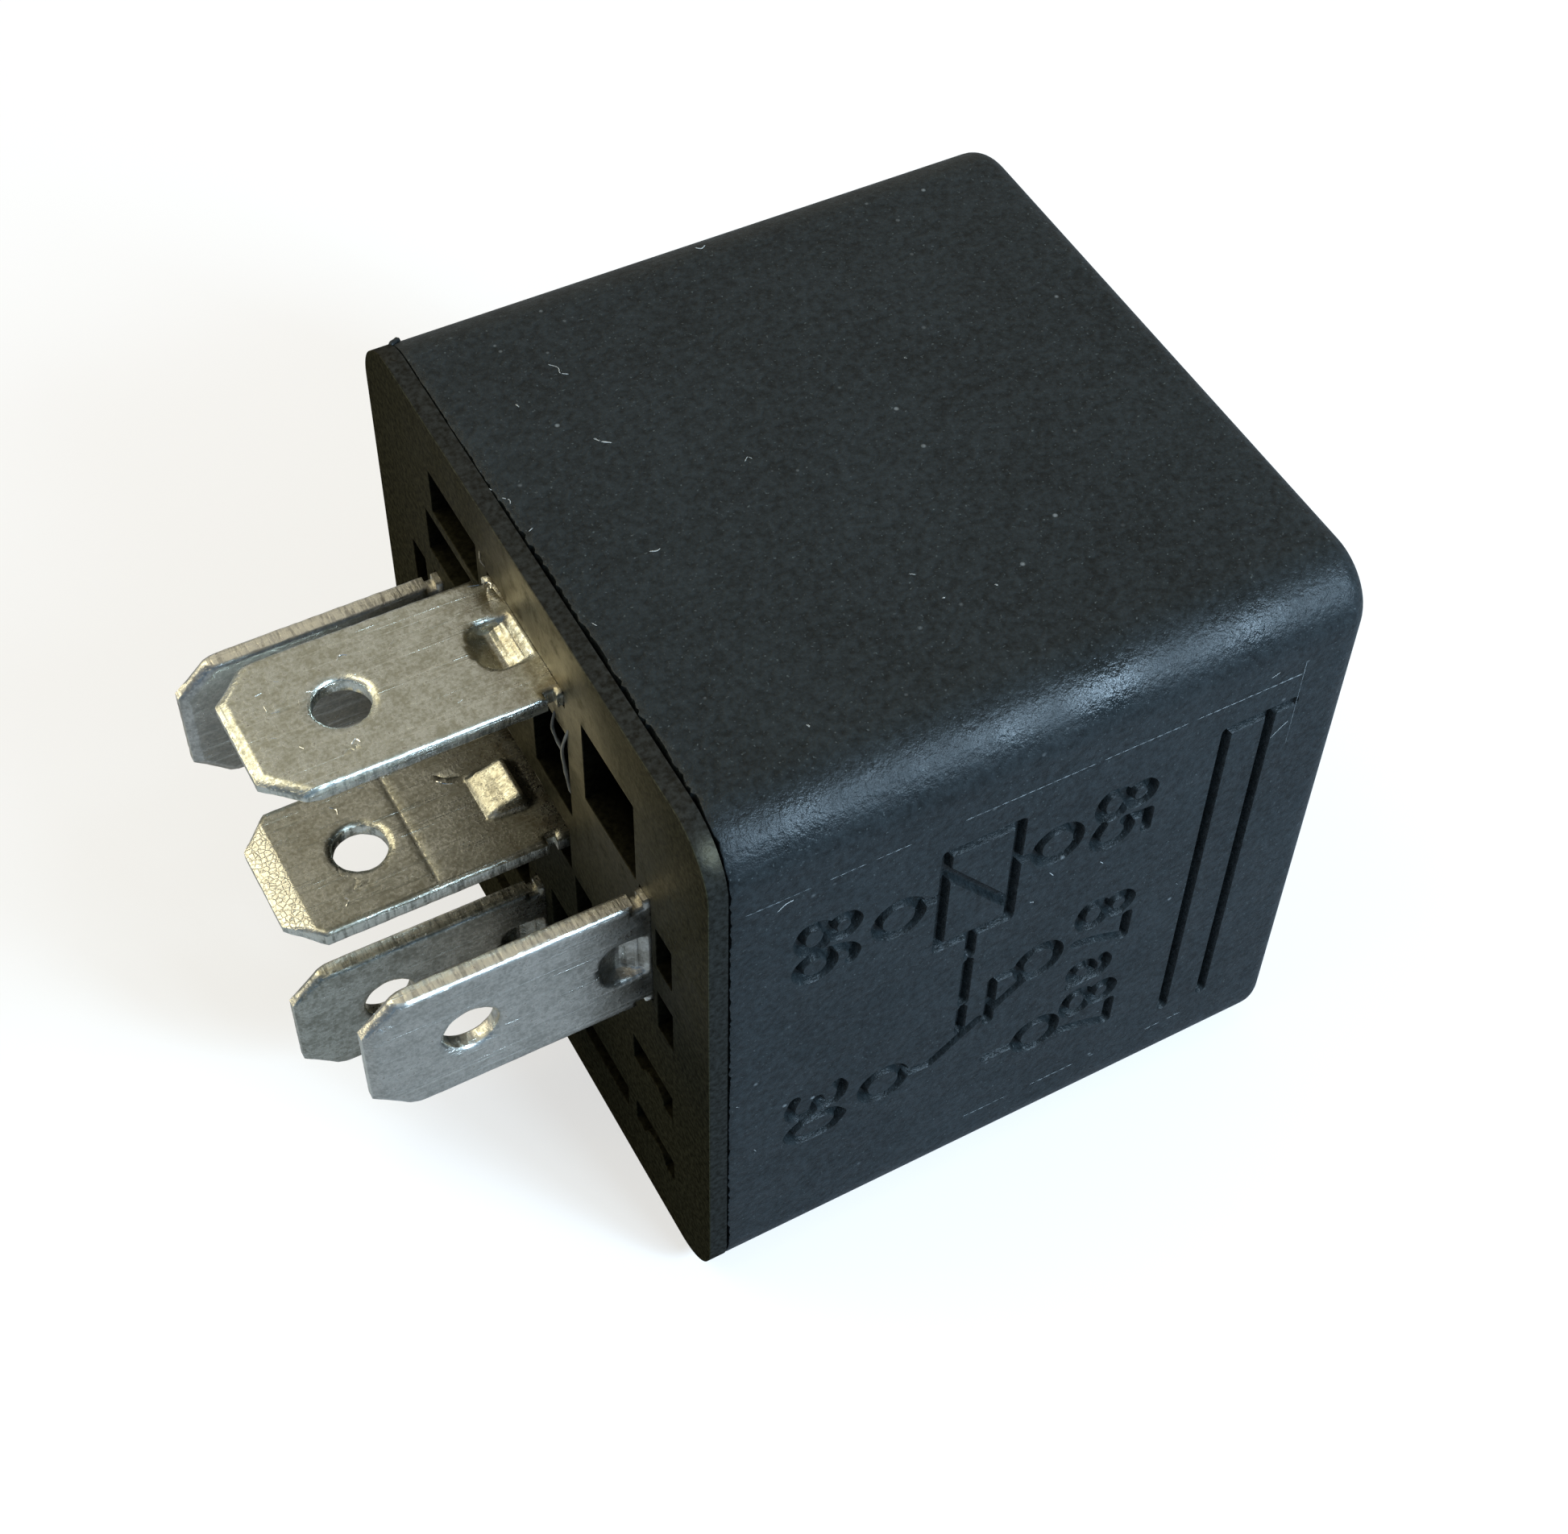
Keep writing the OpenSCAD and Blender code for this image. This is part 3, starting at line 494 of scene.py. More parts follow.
diagram = {
    # distance from a stroke's middle and the height there; the outermost keeps the field beside it flat
    "levels": ((0.35, 0.0), (0.25, 0.0), (0.205, -0.07), (0.11, -0.36)),
    "digitSize": (1.395, 2.28),         # width and height of a digit, without its stroke
    "circleR": 0.90,
    "circleSteps": 28,
    "circles": ((7.5, 20.4), (14.06, 20.64), (14.06, 13.2), (14.5, 7.76), (7.46, 9.44)),
    "lines": (
        ((9.3, 23.0), (12.3, 23.0), (12.3, 17.3), (9.3, 17.3), (9.3, 23.0)),     # coil
        ((9.3, 22.0), (12.1, 18.4)),
        ((8.5, 20.6), (9.2, 20.6)),
        ((12.4, 20.7), (13.05, 20.55)),
        ((10.76, 17.2), (10.76, 15.9)),      # dashed link
        ((10.76, 15.4), (10.76, 12.7)),
        ((10.76, 12.2), (10.76, 10.8)),
        ((8.5, 9.4), (9.5, 9.3), (11.56, 10.9)),      # changeover arm
        ((12.04, 10.5), (12.04, 13.26), (12.9, 13.26)),
        ((12.04, 11.2), (13.5, 12.35)),
        ((12.2, 7.66), (13.44, 7.66)),
        ((21.0, 23.06), (21.0, 5.06)),       # ruled fields
        ((22.95, 23.1), (22.95, 4.9)),
        ((21.0, 23.06), (23.9, 23.12)),
    ),
    "numbers": (("86", 3.50, 22.22), ("85", 15.76, 22.25), ("87", 15.76, 15.40), ("a", 15.86, 11.42),
                ("87", 15.76, 9.36), ("30", 3.38, 11.15)),
    "pitch": 1.78,
    "cell": 0.07,                       # fineness of the grid that the strokes are traced on
    "strokes": {
        "8": (((0.5, 0.53), (0.17, 0.62), (0.14, 0.86), (0.5, 1.0), (0.86, 0.86), (0.83, 0.62), (0.5, 0.53),
               (0.06, 0.40), (0.03, 0.12), (0.5, 0.0), (0.97, 0.12), (0.94, 0.40), (0.5, 0.53)),),
        "6": (((0.86, 0.93), (0.55, 1.0), (0.2, 0.84), (0.03, 0.5), (0.04, 0.2), (0.3, 0.01), (0.7, 0.01),
               (0.97, 0.2), (0.95, 0.44), (0.66, 0.59), (0.3, 0.56), (0.05, 0.36)),),
        "5": (((0.92, 1.0), (0.2, 1.0)), ((0.2, 1.0), (0.1, 0.54)),
              ((0.1, 0.54), (0.45, 0.65), (0.85, 0.55), (0.98, 0.3), (0.82, 0.06), (0.45, -0.01),
               (0.02, 0.1))),
        "7": (((0.0, 1.0), (1.0, 1.0)), ((1.0, 1.0), (0.62, 0.52), (0.36, 0.0))),
        "3": (((0.04, 0.9), (0.4, 1.0), (0.84, 0.9), (0.86, 0.63), (0.42, 0.53)),
              ((0.42, 0.53), (0.92, 0.42), (0.96, 0.14), (0.55, 0.0), (0.02, 0.1))),
        "0": (((0.5, 1.0), (0.1, 0.8), (0.03, 0.5), (0.1, 0.2), (0.5, 0.0), (0.9, 0.2), (0.97, 0.5),
               (0.9, 0.8), (0.5, 1.0)),),
        "a": (((0.1, 0.62), (0.45, 0.72), (0.82, 0.6), (0.86, 0.3), (0.9, 0.0)),
              ((0.84, 0.42), (0.4, 0.42), (0.06, 0.28), (0.1, 0.04), (0.45, -0.02), (0.8, 0.14))),
    },
}


def diagramSegments():
    # every stroke as short straight segments, z counted from the middle of the housing
    paths = [[Vector(p) for p in line] for line in diagram["lines"]]
    for x, z in diagram["circles"]:
        around = [i * math.tau / diagram["circleSteps"] for i in range(diagram["circleSteps"] + 1)]
        paths.append([Vector((x + diagram["circleR"] * math.cos(a), z + diagram["circleR"] * math.sin(a)))
                      for a in around])
    wide, high = diagram["digitSize"]
    for text, x0, z0 in diagram["numbers"]:
        for k, sign in enumerate(text):
            for stroke in diagram["strokes"][sign]:
                path = smoothCurve(stroke, 4) if len(stroke) > 2 else [Vector(p) for p in stroke]
                top = z0 - k * diagram["pitch"]
                paths.append([Vector((x0 + p.y * high, top - p.x * wide)) for p in path])
    lift = Vector((0, housing["midZ"]))
    return [(a - lift, b - lift) for path in paths for a, b in zip(path, path[1:])]


def strokeDistance(xs, zs, segments):
    # distance of each point from the nearest stroke, where that is under reach
    far, reach = 9.0, 0.5
    nearest = np.full(xs.shape, far)
    for a, b in segments:
        close = ((xs > min(a.x, b.x) - reach) & (xs < max(a.x, b.x) + reach)
                 & (zs > min(a.y, b.y) - reach) & (zs < max(a.y, b.y) + reach))
        px, pz = xs[close] - a.x, zs[close] - a.y
        along = b - a
        t = np.clip((px * along.x + pz * along.y) / max(along.length_squared, 1e-9), 0, 1)
        nearest[close] = np.minimum(nearest[close], np.hypot(px - t * along.x, pz - t * along.y))
    return nearest


def traceLevel(field, xs, zs, level, points, edges):
    # adds the line where the field crosses level, as points joined by edges
    inside = field < level
    mixed = inside[:-1, :-1].astype(int) + inside[1:, :-1] + inside[:-1, 1:] + inside[1:, 1:]
    known = {}

    def crossing(a, b):
        if (a, b) not in known:
            t = min(max((level - field[a]) / (field[b] - field[a]), 0.03), 0.97)
            known[a, b] = len(points)
            points.append((xs[a[0]] + t * (xs[b[0]] - xs[a[0]]), zs[a[1]] + t * (zs[b[1]] - zs[a[1]])))
        return known[a, b]

    for i, j in zip(*np.nonzero((mixed > 0) & (mixed < 4))):
        ring = [(i, j), (i + 1, j), (i + 1, j + 1), (i, j + 1)]
        cuts = [crossing(*sorted((ring[k], ring[(k + 1) % 4]))) for k in range(4)
                if inside[ring[k]] != inside[ring[(k + 1) % 4]]]
        edges += list(zip(cuts[::2], cuts[1::2]))


def engravedPatch(x0, x1, edge):
    # the flat field of the marked side between x0 and x1; edge has the heights z along either end
    segments = diagramSegments()
    cell, margin = diagram["cell"], 0.3
    xs = np.arange(x0 + 0.5, x1 - margin, cell)
    zs = np.arange(min(edge) + margin, max(edge) - margin, cell)
    field = strokeDistance(*np.meshgrid(xs, zs, indexing="ij"), segments)
    points = [(x0, z) for z in edge] + [(x1, z) for z in edge]
    inset = 0.25
    inner = np.linspace(min(edge) + inset, max(edge) - inset, 24)
    points += [(x, z) for x in np.linspace(x0 + inset, x1 - inset, 26) for z in inner]
    edges = []
    for level, _ in diagram["levels"]:
        traceLevel(field, xs, zs, level, points, edges)
    flat, _, faces, *_ = delaunay_2d_cdt([Vector(p) for p in points], edges, [], 0, 1e-5)
    far = strokeDistance(np.array([p.x for p in flat]), np.array([p.y for p in flat]), segments)
    reach, depth = zip(*sorted(diagram["levels"]))
    depths = np.interp(far, reach, [-d for d in depth])
    print("diagram cut into the cover:", len(faces), "faces")
    return flat, faces, depths


cover = {
    "edgeRound": 0.07,
    "bandX": 1.3,               # where the evenly divided strip behind the seam ends
    "arcSteps": 14,
    "flatSteps": 150,
    "seamMin": 0.012,           # width of the seam where the parts touch, and where it gapes
    "seamMax": 0.20,
    "sunk": 0.02,               # the shell keeps this much room for what clings to it
    "roundSteps": 10,           # steps of the rounding at the closed end
    # how open the seam is: along the sides, along the marked side, on top at its far and near end
    "seamShare": (0.55, 0.42, (0.22, 0.82)),
    "seamWobble": ((0.9, 0.5), (3.2, 0.7), (9.0, 0.9)),      # how often and how much it wanders
}


def roundedRing(inset):
    # outline of the housing as (y, z) from its middle, one corner after the other
    arcSteps, flatSteps = cover["arcSteps"], cover["flatSteps"]
    radius = max(housing["cornerR"] - inset, 0.25)
    wide, high = housing["halfY"] - cover["sunk"] - inset, housing["midZ"] - cover["sunk"] - inset
    ring = []
    arcs = []
    for sideY, sideZ, start in ((-1, -1, 180), (1, -1, 270), (1, 1, 0), (-1, 1, 90)):
        turns = [math.radians(start + 90 * k / arcSteps) for k in range(arcSteps + 1)]
        arcs.append([(sideY * (wide - radius) + radius * math.cos(a),
                      sideZ * (high - radius) + radius * math.sin(a)) for a in turns])
    for here, after in zip(arcs, arcs[1:] + arcs[:1]):
        ring += here
        a, b = here[-1], after[0]
        ring += [(a[0] + (b[0] - a[0]) * k / flatSteps, a[1] + (b[1] - a[1]) * k / flatSteps)
                 for k in range(1, flatSteps)]
    return ring


def seamGap(y, z):
    # the seam gapes along the upper and the marked side and closes at the corners
    halfY, halfZ = housing["halfY"], housing["midZ"]
    nearCorner = min(halfY - abs(y), halfZ - abs(z)) < 2.2
    corner = min(halfY - abs(y) + halfZ - abs(z), 3.0) / 3.0 if nearCorner else 1.0
    share, marked, (topFar, topNear) = cover["seamShare"]
    if z > halfZ - 0.6:
        share = topFar + (topNear - topFar) * min(max((5.0 - y) / 4.0, 0.0), 1.0)
    if y < -halfY + 0.6:
        share = marked
    wobble = sum(much * noise.noise(Vector((y * often, z * often, 3.1 * often)))
                 for often, much in cover["seamWobble"])
    share = min(max(share * (0.35 + 0.65 * corner) * (1.0 + wobble), 0.0), 1.0)
    return cover["seamMin"] + (cover["seamMax"] - cover["seamMin"]) * share


def buildCover():
    length, wall, rounding = housing["length"], housing["wall"], housing["topEdgeR"]
    edge, flatSteps = cover["edgeRound"], cover["flatSteps"]
    outer = roundedRing(0)
    size = len(outer)
    openX = [housing["rim"] + seamGap(y, z) for y, z in outer]
    # x of each point, and the ring it lies on: inside, round the open edge, along the outside
    rings = [
        ([length - wall] * size, roundedRing(wall)),
        ([x + 0.02 for x in openX], roundedRing(wall)),
        (openX, roundedRing(edge)),
        ([x + edge * 0.3 for x in openX], roundedRing(edge * 0.3)),
        ([x + edge for x in openX], outer),
        ([cover["bandX"]] * size, outer),
    ]
    longStart = len(rings) - 1
    for k in range(cover["roundSteps"] + 1):
        a = math.radians(90 * k / cover["roundSteps"])
        rings.append(([length - rounding + rounding * math.sin(a)] * size,
                      roundedRing(rounding * (1 - math.cos(a)))))
    points = [(housing["faceX"] + xs[j], ring[j][0], ring[j][1] + housing["midZ"])
              for xs, ring in rings for j in range(size)]
    marked = range(size - flatSteps, size)       # the flat of the marked side, cut out for the diagram
    faces = []
    for i in range(len(rings) - 1):
        for j in range(size):
            if i == longStart and j in marked:
                continue
            k = (j + 1) % size
            faces.append((i * size + j, i * size + k, (i + 1) * size + k, (i + 1) * size + j))
    last = (len(rings) - 1) * size
    faces.append(tuple(last + j for j in range(size)))
    faces.append(tuple(reversed(range(size))))
    edgeZ = [outer[j % size][1] for j in range(size - flatSteps, size + 1)]
    flat, patch, depths = engravedPatch(cover["bandX"], length - rounding, edgeZ)
    start = len(points)
    front = cover["sunk"] - housing["halfY"]
    points += [(housing["faceX"] + p.x, front + d, p.y + housing["midZ"]) for p, d in zip(flat, depths)]
    faces += [tuple(start + k for k in f) for f in patch]
    mesh = facedOut(meshFrom("cover", points, faces), merge=2e-6)
    addPiece("cover_shell", mesh, coverPlastic, ["cover"], sharp=40)


buildCover()
print("cover built")


base = {
    "pocketDepths": (2.3, 0.5),         # of the cored pockets and of the shallow blade seat
    "pocketRound": 0.27,
    "edgeRound": 0.05,
}


def buildBase():
    shaped = wholeFaces("base")
    corners = []
    for edge in shaped.edges:
        a, b = (v.co / mm for v in edge.verts)
        fromFace = abs(min(a.x, b.x) - housing["faceX"]) < 0.01
        straight = abs(a.y - b.y) + abs(a.z - b.z) < 0.01
        if fromFace and straight and min(abs(abs(a.x - b.x) - d) for d in base["pocketDepths"]) < 0.02:
            if edge.calc_face_angle(0) > math.radians(60):
                corners.append(edge)
    roundEdges(shaped, corners, base["pocketRound"], 4)
    roundEdges(shaped, sharpEdges(shaped, 40), base["edgeRound"])
    mesh = fromBmesh(shaped, bpy.data.meshes.new("baseMoulding"))
    addPiece("base_moulding", mesh, basePlastic, ["base"])


buildBase()
print("base built")


# blades: local x runs from the tip, y across, z is the side the stop dimple is pressed from
blade = {
    "tip": -10.75,
    "half": 3.15,
    "thick": 0.8,
    "tipThick": 0.4,
    "bevel": 1.0,
    "cut": 1.25,
    "holeX": -6.9,
    "holeR": 1.05,
    "holeLip": 1.5,             # the lip round the hole, wider than the one along the edges
    "notch": (-0.6, -0.25, 0.3),        # beside the root: from, to, how deep
    "inner": 1.6,               # where the modelled blade ends inside its slot
    "join": 1.45,               # where the strip behind it starts
    # distance from an edge and depth of its rounding there; the last loop keeps the face beside it flat
    "edgeDrop": ((0.0, 0.170), (0.032, 0.098), (0.10, 0.032), (0.20, 0.0), (0.28, 0.0)),
    "dimpleX": (-2.2, -0.12),
    "dimpleHalf": 1.3,
    # depth along the dimple, and along the bump that it makes on the far side
    "dimpleAlong": ((-2.2, 0.0), (-2.08, 0.05), (-1.3, 0.56), (-1.18, 0.6), (-0.95, 0.6), (-0.90, 0.57),
                    (-0.75, 0.43), (-0.64, 0.42), (-0.49, 0.29), (-0.38, 0.28), (-0.16, 0.03), (-0.12, 0.0)),
    "bumpAlong": ((-2.2, 0.0), (-2.10, 0.10), (-1.7, 0.30), (-1.25, 0.42), (-0.86, 0.57), (-0.74, 0.6),
                  (-0.62, 0.57), (-0.30, 0.06), (-0.12, 0.0)),
    "dimpleAcross": ((0.0, 0.0), (0.04, 0.04), (0.13, 0.14), (0.17, 0.17), (0.32, 0.93), (0.42, 1.0)),
    # how the thickness comes up from the tip: a plain coined bevel, or a tip rounded close to its end
    "coined": ((0.0, 0.0), (1.0, 1.0)),
    "rounded": ((0.0, 0.06), (0.14, 0.45), (0.32, 0.86), (0.42, 0.93), (1.0, 1.0)),
    "ragged": (0.030, 0.29),    # how far the cut edges wander, and where that ends inwards
    "edgeStep": 0.16,
    "holeSteps": 56,
    "shearedWidth": 0.0315,
}


def insetOutline(corners, distance):
    # the closed outline moved inwards by distance
    moved = []
    count = len(corners)
    for i in range(count):
        before, here, after = (Vector(corners[(i + k) % count]) for k in (-1, 0, 1))
        first, second = (here - before).normalized(), (after - here).normalized()
        normalA, normalB = Vector((-first.y, first.x)), Vector((-second.y, second.x))
        middle = (normalA + normalB).normalized()
        moved.append(here + middle * (distance / max(middle.dot(normalA), 0.3)))
    return moved


def divided(corners, step):
    path = []
    for a, b in zip(corners, corners[1:] + corners[:1]):
        count = max(1, round((Vector(b) - Vector(a)).length / step))
        path += [Vector(a).lerp(Vector(b), k / count) for k in range(count)]
    return path


def dimpleDepth(x, y, corner, profile):
    x0, x1 = blade["dimpleX"]
    half = blade["dimpleHalf"]
    if not x0 < x < x1 or abs(y) >= half:
        return 0.0
    inside = half - abs(y)
    if x < x0 + corner and abs(y) > half - corner:
        inside = corner - math.hypot(x - x0 - corner, abs(y) - half + corner)
    if inside <= 0:
        return 0.0
    along = float(np.interp(x, *zip(*blade[profile])))
    return along * float(np.interp(inside, *zip(*blade["dimpleAcross"])))


def bladePlan(seed, kind):
    # points, triangles and distances from the edge on one side of the blade
    tipRise = blade[kind["tip"]]
    half, tip, cut = blade["half"], blade["tip"], blade["cut"]
    n0, n1, deep = blade["notch"]
    side = [(tip, half - cut), (tip + cut, half), (n0, half), (n0, half - deep), (n1, half - deep),
            (n1, half), (blade["inner"], half)]
    corners = [(x, -y) for x, y in side] + [(x, y) for x, y in reversed(side)]
    points, edges = [], []

    def addLine(line, loop=False):
        start, count = len(points), len(line)
        points.extend(line)
        edges.extend((start + k, start + (k + 1) % count) for k in range(count if loop else count - 1))

    wander, wanderEnd = blade["ragged"]
    for distance, _ in blade["edgeDrop"]:
        ragged = []
        for p in divided(insetOutline(corners, distance), blade["edgeStep"]):
            shift = abs(noise.noise(Vector((p.x * 3.1, p.y * 3.1, seed)))) * wander
            shift *= 1 - distance / wanderEnd
            middle = Vector((min(max(p.x, tip + cut), 0), min(max(p.y, cut - half), half - cut)))
            ragged.append(p + (middle - p).normalized() * shift if p.x < -0.8 else p)
        addLine(ragged, True)
        if not distance:
            rim = ragged
    angles = [i * math.tau / blade["holeSteps"] for i in range(blade["holeSteps"])]
    for distance, _ in blade["edgeDrop"]:
        radius = blade["holeR"] + distance * blade["holeLip"]
        ring = [Vector((blade["holeX"] + radius * math.cos(a), radius * math.sin(a))) for a in angles]
        addLine(ring, True)
    for far, _ in tipRise[1:-1]:
        bend, slant = half - cut - far * math.tan(math.radians(22.5)), far * math.sqrt(2)
        end = Vector((tip + cut + slant - 0.05, half - 0.05))
        addLine([Vector((end.x, -end.y)), Vector((tip + far, -bend)), Vector((tip + far, bend)), end])
    if kind["tip"] == "coined":
        for x in (tip + blade["bevel"] - 0.03, tip + blade["bevel"] + 0.03):
            wide = min(half, half - cut + x - tip) - 0.1
            addLine([Vector((x, -wide)), Vector((x, wide))])
    x0 = blade["dimpleX"][0]
    columns = sorted(set([round(x0 + 0.09 * k, 3) for k in range(-1, 15)]
                         + [x for x, _ in blade[kind["dimple"]]] + [-0.8, -0.53, -0.26, -0.04]))
    rows = [round(-blade["dimpleHalf"] + 0.065 * k, 4) for k in range(-1, 42)]
    points += [Vector((x, y)) for x in columns for y in rows]
    for x in np.arange(tip + 0.8, x0 - 0.2, 0.42):
        for y in np.arange(-2.73, 2.8, 0.42):
            clear = half - cut + x - tip - 0.4 > abs(y)
            if clear and math.hypot(x - blade["holeX"], y) > blade["holeR"] + 0.35:
                points.append(Vector((x, y)))
    for line, width, _ in kind["scratches"]:
        path = scratchPath(line)
        sides = [Vector((b.y - a.y, a.x - b.x)).normalized() * width / 2 for a, b in zip(path, path[1:])]
        for offset in (-1, 0, 1):
            addLine([p + sides[min(k, len(sides) - 1)] * offset for k, p in enumerate(path)])
    flat, _, faces, *_ = delaunay_2d_cdt(points, edges, [], 0, 1e-6)
    kept = []
    for face in faces:
        middle = sum((flat[k] for k in face), Vector((0, 0))) / len(face)
        inHole = (middle - Vector((blade["holeX"], 0))).length < blade["holeR"] * 0.998
        if not inHole and insideOutline(middle, rim):
            kept.append(face)
    sides = [(Vector(a), Vector(b)) for a, b in zip(corners, corners[1:] + corners[:1])]
    fromEdge = []
    for p in flat:
        near = abs((p - Vector((blade["holeX"], 0))).length - blade["holeR"]) / blade["holeLip"]
        for a, b in sides:
            along = b - a
            t = min(max((p - a).dot(along) / along.length_squared, 0), 1)
            near = min(near, (p - a - along * t).length)
        fromEdge.append(near)
    return flat, kept, fromEdge


def tipDistance(p):
    # distance from the tip and its cut corners
    slant = (p.x - blade["tip"] - abs(p.y) + blade["half"] - blade["cut"]) / math.sqrt(2)
    return max(min(p.x - blade["tip"], slant), 0.0)


def scratchPath(line):
    if len(line) > 2:
        return smoothCurve(line, 5)
    a, b = Vector(line[0]), Vector(line[1])
    count = max(2, round((b - a).length / 0.3))
    return [a.lerp(b, k / count) for k in range(count + 1)]


def insideOutline(p, loop):
    crossings = 0
    for a, b in zip(loop, loop[1:] + loop[:1]):
        if (a.y > p.y) != (b.y > p.y) and p.x < a.x + (p.y - a.y) / (b.y - a.y) * (b.x - a.x):
            crossings += 1
    return crossings % 2 == 1


def scratchDepth(x, y, scratches):
    deepest = 0.0
    for line, width, depth in scratches:
        for a, b in zip(line, line[1:]):
            a, b = Vector(a), Vector(b)
            t = min(max((Vector((x, y)) - a).dot(b - a) / max((b - a).length_squared, 1e-9), 0), 1)
            far = (Vector((x, y)) - a.lerp(b, t)).length
            deepest = max(deepest, depth * max(0, 1 - far / (width / 2)))
    return deepest


def bladeAndRest(node, points, faces, marks):
    # the modelled blade with its marks on the points, joined to what the solid has behind it
    shaped = toBmesh(meshFrom(node + "Blade", points, faces))
    for layerName, values in marks.items():
        layer = shaped.verts.layers.float.new(layerName)
        for vert, value in zip(shaped.verts, values):
            vert[layer] = value
    bmesh.ops.delete(shaped, geom=[v for v in shaped.verts if not v.link_faces], context="VERTS")
    bmesh.ops.recalc_face_normals(shaped, faces=shaped.faces)
    strip = toBmesh(softMesh(node, 0.05))
    cutAt = Vector(((housing["faceX"] + blade["join"]) * mm, 0, 0))
    whole = strip.verts[:] + strip.edges[:] + strip.faces[:]
    bmesh.ops.bisect_plane(strip, geom=whole, plane_co=cutAt, plane_no=(-1, 0, 0), clear_outer=True)
    bmesh.ops.holes_fill(strip, edges=[e for e in strip.edges if e.is_boundary])
    shaped.from_mesh(fromBmesh(strip, bpy.data.meshes.new(node + "Rest")))
    return fromBmesh(shaped, bpy.data.meshes.new(node + "Whole"))


def buildBlade(node, kind):
    turn, corner, profile, tipRise = kind["turn"], kind["corner"], kind["dimple"], blade[kind["tip"]]
    plainTip = kind["tip"] == "coined"
    seed = len(node) + turn / 7
    flat, faces, fromEdge = bladePlan(seed, kind)
    scratches = [(scratchPath(line), width, depth) for line, width, depth in kind["scratches"]]
    points, coined, sheared = [], [], []
    tilt = Matrix.Rotation(math.radians(turn), 3, "X")
    origin = Vector((housing["faceX"], *kind["place"]))
    bevelEnd = blade["tip"] + blade["bevel"]
    upper = -1 if turn == 180 else 1        # the face that is turned up
    for side in (1, -1):
        for p, near in zip(flat, fromEdge):
            drop = float(np.interp(near, *zip(*blade["edgeDrop"])))
            far = p.x - blade["tip"] if plainTip else tipDistance(p)
            share = float(np.interp(far, *zip(*tipRise)))
            half = (blade["tipThick"] + (blade["thick"] - blade["tipThick"]) * share) / 2
            worn = drop * (0.9 + 0.3 * noise.noise(Vector((p.x * 3, p.y * 3, seed + side * 3))))
            worn *= float(np.interp(p.x - blade["tip"], (0, 0.25, 0.5), (0.3, 0.4, 1.0)))
            pressed = dimpleDepth(p.x, p.y, corner, profile)
            height = side * (half - worn) - pressed
            height -= side * scratchDepth(p.x, p.y, scratches) if side == upper else 0
            points.append(origin + tilt @ Vector((p.x, p.y, height)))
            # on 87a's bump a fifth of the fresh tin colour is a painted highlight
            onBump = profile == "bumpAlong" and pressed > 0.02
            coined.append((1.0 if p.x < bevelEnd else 0.2 if onBump else 0.0) if plainTip else 0.0)
            sheared.append(1.0 if near < blade["shearedWidth"] else 0.0)
    count = len(flat)
    allFaces = [tuple(f) for f in faces] + [tuple(count + k for k in reversed(f)) for f in faces]
    used = {(a, b): True for face in faces for a, b in zip(face, face[1:] + face[:1])}
    allFaces += [(b, a, count + a, count + b) for a, b in used if (b, a) not in used]
    mesh = bladeAndRest(node, points, allFaces, {"coined": coined, "sheared": sheared})
    addPiece(node + "_strip", mesh, kind["tin"], [node], sharp=38)


# place of the middle (y, z), turn about x, shape of tip and dimple, corner radius of the dimple,
# and scratches: their line on the blade, width, depth
blades = {
    "terminal_87": {
        "place": (0, 25.0), "turn": 0, "tin": stripTin, "slot": "tinned_strip",
        "tip": "rounded", "dimple": "dimpleAlong", "corner": 0.95,
        "scratches": (
            (((-7.7, -2.2), (-7.45, -2.05), (-7.3, -2.2), (-7.2, -2.05)), 0.06, 0.012),
            (((-9.0, 0.55), (-8.6, 0.55)), 0.05, 0.010),
            (((-0.45, 2.2), (-0.25, 2.55), (-0.12, 2.4)), 0.06, 0.015),
        ),
    },
    "terminal_87a": {
        "place": (0.95, 15.45), "turn": 180, "tin": shadedStripTin, "slot": "tinned_strip",
        "tip": "coined", "dimple": "bumpAlong", "corner": 0.25,
        "scratches": (
            (((-4.96, -2.9), (-4.96, 2.9)), 0.13, 0.018),
            (((-7.9, 0.3), (-8.05, 0.9), (-7.6, 1.3), (-7.85, 1.75), (-7.3, 1.7)), 0.07, 0.010),
            (((-3.0, -1.75), (-2.75, -1.5), (-2.3, -1.35)), 0.08, 0.02),
        ),
    },
    "terminal_30": {
        "place": (0.65, 6.4), "turn": 90, "tin": shadedStripTin, "slot": "tinned_strip",
        "tip": "rounded", "dimple": "dimpleAlong", "corner": 0.8, "scratches": (),
    },
    "terminal_85": {
        "place": (-9.2, 17.8), "turn": 90, "tin": coilBladeTin, "slot": "tinned_coil_blade",
        "tip": "rounded", "dimple": "dimpleAlong", "corner": 1.1,
        "scratches": ((((-10.1, 2.3), (-9.9, 2.15), (-9.95, 2.4), (-9.7, 2.3)), 0.06, 0.015),),
    },
    "terminal_86": {
        "place": (8.5, 16.8), "turn": -90, "tin": coilBladeTin, "slot": "tinned_coil_blade",
        "tip": "rounded", "dimple": "dimpleAlong", "corner": 0.8, "scratches": (),
    },
}
for node, kind in blades.items():
    buildBlade(node, kind)
print("blades built")


